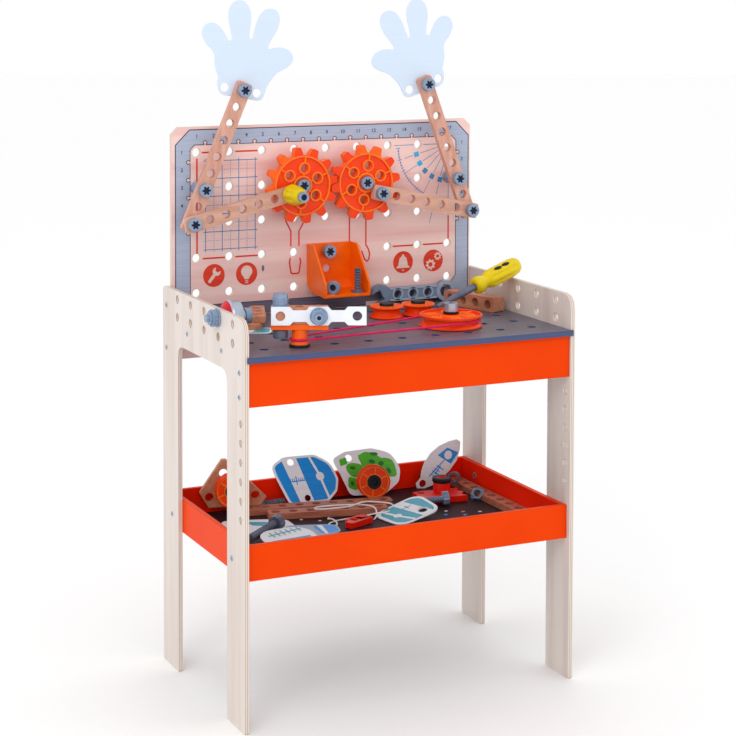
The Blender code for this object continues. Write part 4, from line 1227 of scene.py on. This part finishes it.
bell_axis = Vector((0, (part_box("bell")[0].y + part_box("bell")[1].y) / 2, (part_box("bell")[0].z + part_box("bell")[1].z) / 2))
bell_x = MID_X / MM
turned("bell_cup",
       [(6.3, bell_x - 237.5), (12, bell_x - 237.5), (15, bell_x - 236.6), (20.5, bell_x - 232.2), (23.0, bell_x - 229.6),
        (23.4, bell_x - 228.8), (23.0, bell_x - 228.0), (21.2, bell_x - 227.6), (20.8, bell_x - 215.0),
        (20.2, bell_x - 214.4), (8.5, bell_x - 214.4), (8.5, bell_x - 208), (6.3, bell_x - 208),
        (6.3, bell_x - 237.5)], bell_axis, RIGHT, screw_steel, "bell", 0.0, 56)
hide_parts("bell")
turned("bell_disc", [(6.3, bell_x - 237.8), (14.6, bell_x - 237.6), (20.8, bell_x - 232.8), (21.4, bell_x - 231.2),
                     (6.3, bell_x - 231.2), (6.3, bell_x - 237.8)], bell_axis, RIGHT, bell_red, "bell", 0.0, 56)
bm = bmesh.new()
for radius, low, high, count, wave, lobes in (
        (5.5, -244.6, -207.6, 24, 0, 1), (12.4, -246.8, -244.5, 40, 0, 1), (10.6, -252.0, -246.6, 72, 0.05, 12),
        (11.6, -254.4, -251.8, 40, 0, 1), (8.6, -257.4, -254.2, 60, 0.06, 10), (4.9, -262, -257.2, 28, 0, 1),
        (10.6, -207.6, -198.4, 36, 0, 1)):
    prism(bm, bell_axis + RIGHT * MID_X, radius, RIGHT, low, high, count, wave, lobes)
piece = new_piece("bell_bolt_turned", bm, [bolt_grey], "bench", 0.0006)
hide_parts("bell_bolt")
print("tools done")

# %% [markdown]
# ## Tray and aprons
# The front apron and the tray are sprayed plywood boards. The tray's floor is a dark, almost plum board.
# The inner faces of the rear and right walls are painted redder: painted bounce light and shade, standing in for the
# light in the tray that has bounced off orange.

# %% Painted boards
softened("front_apron", orange_paint, 0.0009)
softened("shelf_front_wall", orange_paint, 0.0009)
softened("shelf_left_wall", orange_paint, 0.0009)
# Painted light: faces that look into the tray get the redder paint, which stands in for shade and bounced orange light.
for node, inward in (("shelf_rear_wall", FRONT), ("shelf_right_wall", -RIGHT)):
    piece = softened(node, orange_paint, 0.0009)
    piece.data.materials.append(tray_painted_bounce_light)
    for face in piece.data.polygons:
        face.material_index = int(face.normal.dot(inward) > 0.9)
softened("shelf_board", shelf_stain, 0.0005)

# %% Loose parts on the tray that the model has
replated("strip_side", UP, beech_shelf, 0.0008)
replated("triangle_plate", (-math.sin(math.radians(13)), -math.cos(math.radians(13)), 0), beech_block, 0.0009)
softened("flipper_base", clip_red, 0.0008)
softened("cord_clip", clip_red, 0.0007)
for node in ("wheel_loose", "wheel_on_triangle"):
    softened(node, gear_orange, 0.0007)
LEAN = math.radians(31.5)
CARD_OUT = Vector((0, -math.cos(LEAN), math.sin(LEAN)))
blue_face = replated("blue_card", CARD_OUT, card_white, 0.0004, soften=2)
green_face = replated("green_card", CARD_OUT, card_white, 0.0004, soften=2)

# %% [markdown]
# ## Cards
# The cards are white board printed with simple flat areas. Each leaning card has a drawing surface that
# maps millimetres across and up the card to its front, so that the same ink helpers serve it.

# %% Cards
TRAY = TRAY_Z / MM


def leaning(x, y):
    """The drawing surface of a card whose foot is at x, y and which leans on the rear wall."""
    foot, rise = spot(x, y, TRAY + 0.5), CARD_OUT.cross(RIGHT)

    def at(u, v, out=0.0):
        return foot + RIGHT * u * MM + rise * v * MM + CARD_OUT * (1.6 + out) * MM

    def flat(points):
        return [Vector(((p - foot).dot(RIGHT), (p - foot).dot(rise))) / MM for p in points]
    return at, flat


def patch(corners, thickness=1.2):
    """A drawing surface over four corners; u and v run from 0 to 100 along its sides."""
    c00, c10, c11, c01 = [spot(*c) for c in corners]
    normal = (c10 - c00).cross(c01 - c00).normalized()
    normal *= math.copysign(1.0, normal.z or 1.0)

    def at(u, v, out=0.0):
        s, t = u / 100, v / 100
        flat = c00 * (1 - s) * (1 - t) + c10 * s * (1 - t) + c11 * s * t + c01 * (1 - s) * t
        return flat + normal * (thickness + out) * MM
    return at, normal


def inset(points, reach):
    """Moves a closed outline inwards."""
    area = sum(a.x * b.y - b.x * a.y for a, b in zip(points, points[1:] + points[:1]))
    out = []
    for i, p in enumerate(points):
        d = (points[(i + 1) % len(points)] - points[i - 1]).normalized()
        out.append(p + Vector((-d.y, d.x)) * math.copysign(reach, area))
    return out


def area_piece(name, finish, at, loops, out=INK):
    bm = bmesh.new()
    shape(bm, loops, out, at)
    return new_piece(name, bm, finish, "bench")


def lines_piece(name, finish, at, runs, out=INK * 3):
    """Straight strokes; each run is (u0, v0, u1, v1, width)."""
    bm = bmesh.new()
    for u0, v0, u1, v1, width in runs:
        quad_line(bm, (u0, v0), (u1, v1), width, out, at)
    return new_piece(name, bm, finish, "bench")


def oval(u, v, ru, rv, count=28, tilt=0.0, wave=0.0, lobes=3):
    c, s = math.cos(tilt), math.sin(tilt)
    points = []
    for k in range(count):
        a = 2 * math.pi * k / count
        r = 1 + wave * math.sin(lobes * a)
        points.append((u + c * ru * r * math.cos(a) - s * rv * r * math.sin(a),
                       v + s * ru * r * math.cos(a) + c * rv * r * math.sin(a)))
    return points


at, flat = leaning(-30, 121)
field = [tuple(p) for p in inset(flat(blue_face[1]), 3.6)]
holes = [oval(-19, 64, 5.1, 5.1), oval(-4, 8.5, 4.7, 4.7)]
area_piece("blue_card_field", card_blue, at, [field] + holes)
bm = bmesh.new()
shape(bm, [[(-33.5, 71.5), (-9.5, 71.5), (5.5, 2.6), (-16, 2.6)], holes[0], holes[1]], INK * 2, at)
stroke(bm, [(11, 70.5), (21, 44), (30, 4.6)], 3.6, INK * 2, at)
shape(bm, [oval(22.6, 38.5, 6.4, 6.4)], INK * 2.4, at)
new_piece("blue_card_bands", bm, card_white, "bench")
ticks = [(-27, 35, -2, 35, 1.5), (-15.5, 29.4, -15.5, 42.5, 1.5)]
ticks += [(-15.5 + s * k, 35, -15.5 + s * k, 39.4, 1.1) for s in (-1, 1) for k in (3.2, 6.2, 9.2, 12.2)]
lines_piece("blue_card_ticks", card_blue, at, ticks)

at, flat = leaning(72, 121)
blobs = [oval(-22, 42, 14, 11, 40, -0.2, 0.07, 3), oval(-30, 22, 8, 10, 32, 0.1, 0.08, 4),
         oval(8, 52, 21, 12, 44, -0.25, 0.08, 5), oval(33, 40, 11, 16, 40, 0.3, 0.06, 4),
         oval(-38, 56, 7, 5.5, 28, 0.5, 0.14, 4), oval(0, 62.5, 12, 4.2, 32, 0.1, 0.1, 5)]
bm = bmesh.new()
for k, blob in enumerate(blobs):
    shape(bm, [blob], INK * (1 + 0.15 * k), at)
new_piece("green_card_leaves", bm, card_green, "bench")
bm = bmesh.new()
for u, v, ru, rv, tilt in ((14, 62.6, 6.4, 2.6, -0.1), (8, 51.5, 5.2, 3.2, -0.3), (22, 47, 4.6, 3.6, 0.2),
                           (32, 35, 3.4, 5.0, 0.3), (-25, 45, 4.4, 2.4, -0.2), (-31, 22, 2.8, 3.6, 0.1)):
    shape(bm, [oval(u, v, ru, rv, 24, tilt)], INK * 3, at)
new_piece("green_card_spots", bm, card_deep_green, "bench")


def card_at(name, corners, outline, finish=card_white, holes=(), thickness=1.2):
    """A loose card: its outline is in the 0 to 100 square of its four corners."""
    at, normal = patch(corners, 0.0)
    loops = [[at(u, v, thickness) for u, v in outline]]
    loops += [[at(u, v, thickness) for u, v in hole] for hole in holes]
    bm = bmesh.new()
    rows = []
    for height in (0.0, thickness):
        rows.append([[bm.verts.new(at(u, v, height)) for u, v in loop] for loop in [outline] + list(holes)])
    for level in rows:
        edges = []
        for loop in level:
            edges += [bm.edges.new((a, b)) for a, b in zip(loop, loop[1:] + loop[:1])]
        bmesh.ops.triangle_fill(bm, use_beauty=True, edges=edges)
    for low, high in zip(*rows):
        for a, b, c, d in zip(low, low[1:] + low[:1], high[1:] + high[:1], high):
            bm.faces.new((a, b, c, d))
    new_piece(name, bm, finish, "bench")
    return patch(corners, thickness)[0]


def soft_square(x0=0, y0=0, x1=100, y1=100, r=18, n=5):
    points = []
    for cx, cy, start in ((x1 - r, y1 - r, 0), (x0 + r, y1 - r, 90), (x0 + r, y0 + r, 180), (x1 - r, y0 + r, 270)):
        points += [(cx + r * math.cos(math.radians(start + 90 * k / n)), cy + r * math.sin(math.radians(start + 90 * k / n)))
                   for k in range(n + 1)]
    return points


at = card_at("light_card", [(36, -40, 207.4), (110, -22, 219), (108, 50, 223), (22, 26, 207.6)], soft_square(r=26),
             holes=[oval(70, 28, 9, 10)])
area_piece("light_card_field", card_teal, at, [soft_square(6, 6, 94, 94, 24), oval(70, 28, 12, 13)])
bm = bmesh.new()
shape(bm, [[(42, 96), (64, 96), (86, 5), (58, 5)], oval(70, 28, 11.6, 12.6)], INK * 2, at)
stroke(bm, [(16, 92), (24, 50), (38, 6)], 6, INK * 2, at)
shape(bm, [oval(25, 48, 8, 8)], INK * 2.4, at)
new_piece("light_card_bands", bm, card_white, "bench")
lines_piece("light_card_ticks", card_teal, at, [(46, 66, 66, 66, 2.4), (56, 58, 56, 75, 2.4)])

leaf_corners = [(144, 131.0, 207.2), (224, 131.0, 207.2), (224, 137.5, 275), (144, 137.5, 275)]
leaf = [(4, 1), (2, 12), (12, 22), (15, 38), (22, 56), (35, 74), (54, 88), (76, 96), (92, 98), (99, 92), (97, 74),
        (90, 52), (74, 32), (56, 16), (38, 4), (20, -1)]
at = card_at("leaf_card", leaf_corners, leaf, holes=[oval(16, 10, 7, 8)])
area_piece("leaf_card_box", card_blue, at, [[(50, 68), (71, 82), (94, 69), (77, 46)], oval(72, 66, 8.4, 9.6)])
lines_piece("leaf_card_ticks", card_blue, at,
            [(63, 56, 30, 24, 2.2), (42, 27, 55, 44, 2.0), (37, 36, 51, 24, 2.0), (47, 46, 61, 34, 2.0),
             (34, 29, 44, 20, 1.6), (41, 40, 52, 32, 1.6)])

card_at("low_card_a", [(-186, 0, 207.0), (-98, 0, 207.0), (-96, 60, 207.6), (-188, 88, 207.6)], soft_square(r=20))
at = patch([(-186, 0, 207.0), (-98, 0, 207.0), (-96, 60, 207.6), (-188, 88, 207.6)], 1.2)[0]
area_piece("low_card_a_print", card_teal, at, [[(38, 86), (72, 78), (66, 66), (84, 58), (60, 50), (40, 62)]])
lines_piece("low_card_a_ticks", card_teal, at, [(8, 62, 44, 74, 2.4), (18, 56, 16, 76, 2.0), (28, 58, 26, 80, 2.0)])
at = card_at("low_card_b", [(-110, -46, 208.6), (-52, -34, 208.6), (-44, 2, 209.0), (-118, 26, 209.0)],
             soft_square(r=24), ruler_ink)
area_piece("low_card_b_print", card_blue, at, [soft_square(52, 8, 96, 92, 20)])
area_piece("low_card_b_band", card_white, at, [[(58, 8), (66, 8), (72, 92), (62, 92)]], INK * 2)
at = card_at("low_card_c", [(-172, -92, 209.6), (-96, -92, 209.6), (-98, -12, 218.0), (-176, -18, 218.0)],
             soft_square(r=34))
lines_piece("low_card_c_ticks", card_teal, at,
            [(16, 74, 86, 88, 3.0)] + [(26 + 11 * k, 66 + 2.2 * k, 24 + 11 * k, 88 + 2.0 * k, 2.2) for k in range(6)])
area_piece("low_card_c_field", card_teal, at, [[(12, 20), (88, 20), (88, 56), (12, 52)]])
print("cards done")

# %% [markdown]
# ## Small loose parts and screws
# Threaded bolts lie among the cards: each is a round head, a recess and a shank with deep ridges, spun from
# a saw-tooth profile. The panels are held by small steel screws whose heads sit just proud of the wood.

# %% Loose bolts, nuts and screws


def loose_bolt(name, head, tail, head_long=9.0, radius=9.4, shank=5.4, finish=steel_grey, shaped=(0.0, 6)):
    """A threaded bolt that lies between two points: the middle of its head and the end of its shank."""
    head, tail = spot(*head), spot(*tail)
    out = (head - tail).normalized()
    length = (head - tail).length / MM
    bm = bmesh.new()
    profile, h = [(0.0, 0.0), (shank - 1.0, 0.0)], 0.6
    while h < length - 4:
        profile += [(shank, h), (shank, h + 1.0), (shank - 2.0, h + 2.2)]
        h += 3.8
    profile += [(shank, length - 2), (0.0, length - 2)]
    lathe(bm, profile, tail, out, 24)
    prism(bm, tail, radius, out, length - 2, length - 2 + head_long, 48, *shaped, hole=4.6)
    # Painted shade: a dark navy disc at the bottom of the head's recess.
    prism(bm, tail, 5.6, out, length - 1.8, length + head_long - 5, 24, material=1)
    return new_piece(name, bm, [finish, recess_painted_shade], "bench", 0.0004)


loose_bolt("front_bolt", (-135, 5, 220.5), (-186, -30, 215.5), 12.0, 10.4, 5.8, shaped=(0.04, 12))
loose_bolt("lying_bolt", (144, 38, 216.2), (114, 46, 213.4), 9.0, 9.4, 5.0, bolt_grey, (0.06, 10))
loose_bolt("rear_bolt", (-108, 123, 214.5), (-70, 129, 213.0), 8.0, 7.4, 5.2)
loose_bolt("bin_lying_bolt", (-11, 85, 527.6), (4, 104, 526.0), 8.0, 9.6, 5.2, bolt_grey)
piece = loose_bolt("bin_standing_bolt", (26.5, 84, 519.6), (26.5, 84, 553.6), 9.0, 9.4, 5.2)
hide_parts("bin_spare_bolt")
bm = bmesh.new()
prism(bm, spot(203, 44, 214), 9.6, (-0.5, -0.6, 0.62), -4, 5, 6, hole=5.2)
prism(bm, spot(203, 44, 214), 11.4, (-0.5, -0.6, 0.62), -6.2, -4, 32, hole=5.2)
new_piece("hex_nut", bm, bolt_grey, "bench", 0.0007)
bm = bmesh.new()
prism(bm, spot(197, 106, 224.6), 9.0, (-0.7, -0.7, 0.1), -4, 5, 40, hole=5.4)
new_piece("ring_nut", bm, steel_grey, "bench", 0.0007)


def screw(name, x, y, z, out, radius=3.6):
    """A panel screw: a domed head with a hexagonal recess whose dark floor is painted shade."""
    out = Vector(out)
    bm = bmesh.new()
    centre = spot(x, y, z)
    prism(bm, centre, radius, out, -1.0, 0.9, 28, hole=radius * 0.45)
    prism(bm, centre, radius * 0.48, out, -0.9, 0.3, 6, material=1)
    return new_piece(name, bm, [screw_steel, recess_painted_shade], "bench", 0.0003)


LEFT = -RIGHT
outside, inside = -244.2, 244.2
for k, (y, z) in enumerate(((55.6, 483), (-74, 483), (-137, 465.6), (-137, 433.9), (-110, 218), (118, 218),
                            (140, 640 - 130), (140, 450))):
    screw("left_panel_screw_%d" % k, outside, y, z, LEFT)
    screw("right_panel_screw_%d" % k, inside, y, z, RIGHT)
screw("tray_wall_screw", 230.2, 103, 225, LEFT, 4.6)
bm = bmesh.new()
for x, y in ((-75, 53), (-53, 38)):
    prism(bm, spot(x, y, TRAY), 2.4, UP, 0.0, 0.15, 20)
new_piece("tray_floor_dots", bm, card_white, "bench")
for name, finish, places in (("blue", card_blue, ((123, -8), (148, -19.5))), ("pale", icon_wood, ((132, 8), (175, -14))),
                             ("orange", tooth_orange, ((153, -4),))):
    bm = bmesh.new()
    for x, y in places:
        corners = [spot(x + dx, y + dy, TRAY + 0.15) for dx, dy in ((-4, -1), (0, -3.4), (4, 1), (0, 3.4))]
        bm.faces.new([bm.verts.new(c) for c in corners])
    new_piece("tray_floor_marks_" + name, bm, finish, "bench")
post = spot(153, 66, 0) + (Matrix.Rotation(math.radians(-6), 3, "Z") @ Vector((5, 8, 0))) * MM
turned("flipper_cap", [(6.4, 230.6), (13.2, 230.6), (13.8, 231.4), (13.8, 236.2), (13.0, 237.4), (6.6, 237.6),
                       (6.2, 236.8), (6.2, 232.4), (0, 232.4)], post, UP, soft_black, "bench", 0.0, 40)
for node, pose in (("wheel_loose", None), ("wheel_on_triangle", None)):
    mesh = frame["nodes"][node].data
    low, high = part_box(node)
    middle = (low + high) / 2
    out = Vector((-0.24, -0.97, 0.13)) if node == "wheel_loose" else Vector((0.225, -0.974, 0))
    out = max((f for f in mesh.polygons), key=lambda f: f.normal.dot(out) * f.area ** 0.25).normal.copy()
    bm = bmesh.new()
    prism(bm, middle, 10.4, out, 4.0, 9.2, 36, hole=5.2)
    # Painted shade: a dark navy disc at the bottom of the hub's hole.
    prism(bm, middle, 5.4, out, 3.0, 5.0, 24, material=1)
    new_piece(node + "_hub", bm, [soft_black, recess_painted_shade], "bench", 0.0006)
    gear_lines(node + "_lines", middle, out, 5.0, 6.4, 22.4, 11.8, 1.0, 0, 0.4, "bench", gear_light)
print("small parts done")

# %% [markdown]
# ## Things on the worktop's left
# A short stack of strips and a pale card lie by the left panel, behind the bell.

# %% Left of the worktop
TOP = WORKTOP_Z / MM
for k, (x, y, turn, length) in enumerate(((-143, 56, 62, 98), (-138, 62, 69, 86))):
    lay = Matrix.Translation(spot(x, y, 0)) @ Matrix.Rotation(math.radians(turn), 4, "Z")
    top = TOP + 0.3 + 9.2 * k + 9
    rings = [ring_points(lay @ Vector((s * MM, 0, top * MM)), HOLE_R, UP, 24) for s in (-25, 0, 25)]
    bm = filled([bar_outline(lay, length / 2, 10.5, top)] + rings, UP, 0.009)
    new_piece("short_strip_%d" % k, bm, beech_block, "bench", 0.0008)

at = card_at("worktop_card", [(-196, 4, 488.2), (-150, -16, 488.2), (-132, 22, 488.2), (-180, 34, 488.2)], soft_square(r=22))
area_piece("worktop_card_print", card_teal, at, [soft_square(6, 8, 94, 92, 20)])
area_piece("worktop_card_band", card_white, at, [[(30, 8), (48, 8), (62, 92), (44, 92)]], INK * 2)

# %% [markdown]
# ## String
# The cotton string is loose on the tray: it lies over the strips and the clip. It is one cord, a round
# curve through listed points, and it rides on the bench like the other loose parts.

# %% String
over, low = TRAY + 10.7, TRAY + 1.6
route = [(17, 8, low), (22, 13, low), (27, 19, low + 3), (29, 26, over - 0.5), (30, 36, over), (26, 48, over),
         (12, 58, over), (-8, 64, over), (-30, 68, over), (-46, 68, over), (-52, 61, over), (-42, 54, over),
         (-22, 52, over), (-4, 51, over), (8, 51, over + 2), (20, 54, over + 3.6), (32, 59, over + 2), (44, 58, over),
         (57, 48, over), (63, 38, over - 1), (57, 26, low + 4), (40, 19, low + 4.4), (24, 17, low + 5.4),
         (8, 24, low + 1), (-10, 26, low), (-30, 24, low), (-46, 18, low), (-53, 9, low), (-48, 1, low), (-41, 4, low),
         (-39, 14, low + 2), (-41, 24, low + 3.6), (-44, 32, low + 1), (-38, 40, low)]
points = [spot(*p) for p in route]
for _ in range(2):
    finer = [points[0]]
    for a, b in zip(points, points[1:]):
        finer += [a.lerp(b, 0.25), a.lerp(b, 0.75)]
    points = finer + [points[-1]]
curve = bpy.data.curves.new("string_line", "CURVE")
curve.dimensions = "3D"
curve.bevel_depth = 0.0011
curve.bevel_resolution = 4
curve.use_fill_caps = True
spline = curve.splines.new("POLY")
spline.points.add(len(points) - 1)
for place, point in zip(spline.points, points):
    place.co = (*point, 1.0)
curve.materials.append(cotton_white)
string = bpy.data.objects.new("string_line", curve)
bpy.context.scene.collection.objects.link(string)
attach(string, "bench")
string_length = sum((b - a).length for a, b in zip(points, points[1:]))
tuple(points[0])
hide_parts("string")
print("string length", round(string_length, 3))

# %% [markdown]
# ## Finish
# The overall size is worked out and printed once more.

# %% Size and finish
low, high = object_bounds()
{"model": model_box, "scene": [list(low), list(high)]}
print("size", [round(v, 4) for v in high - low])
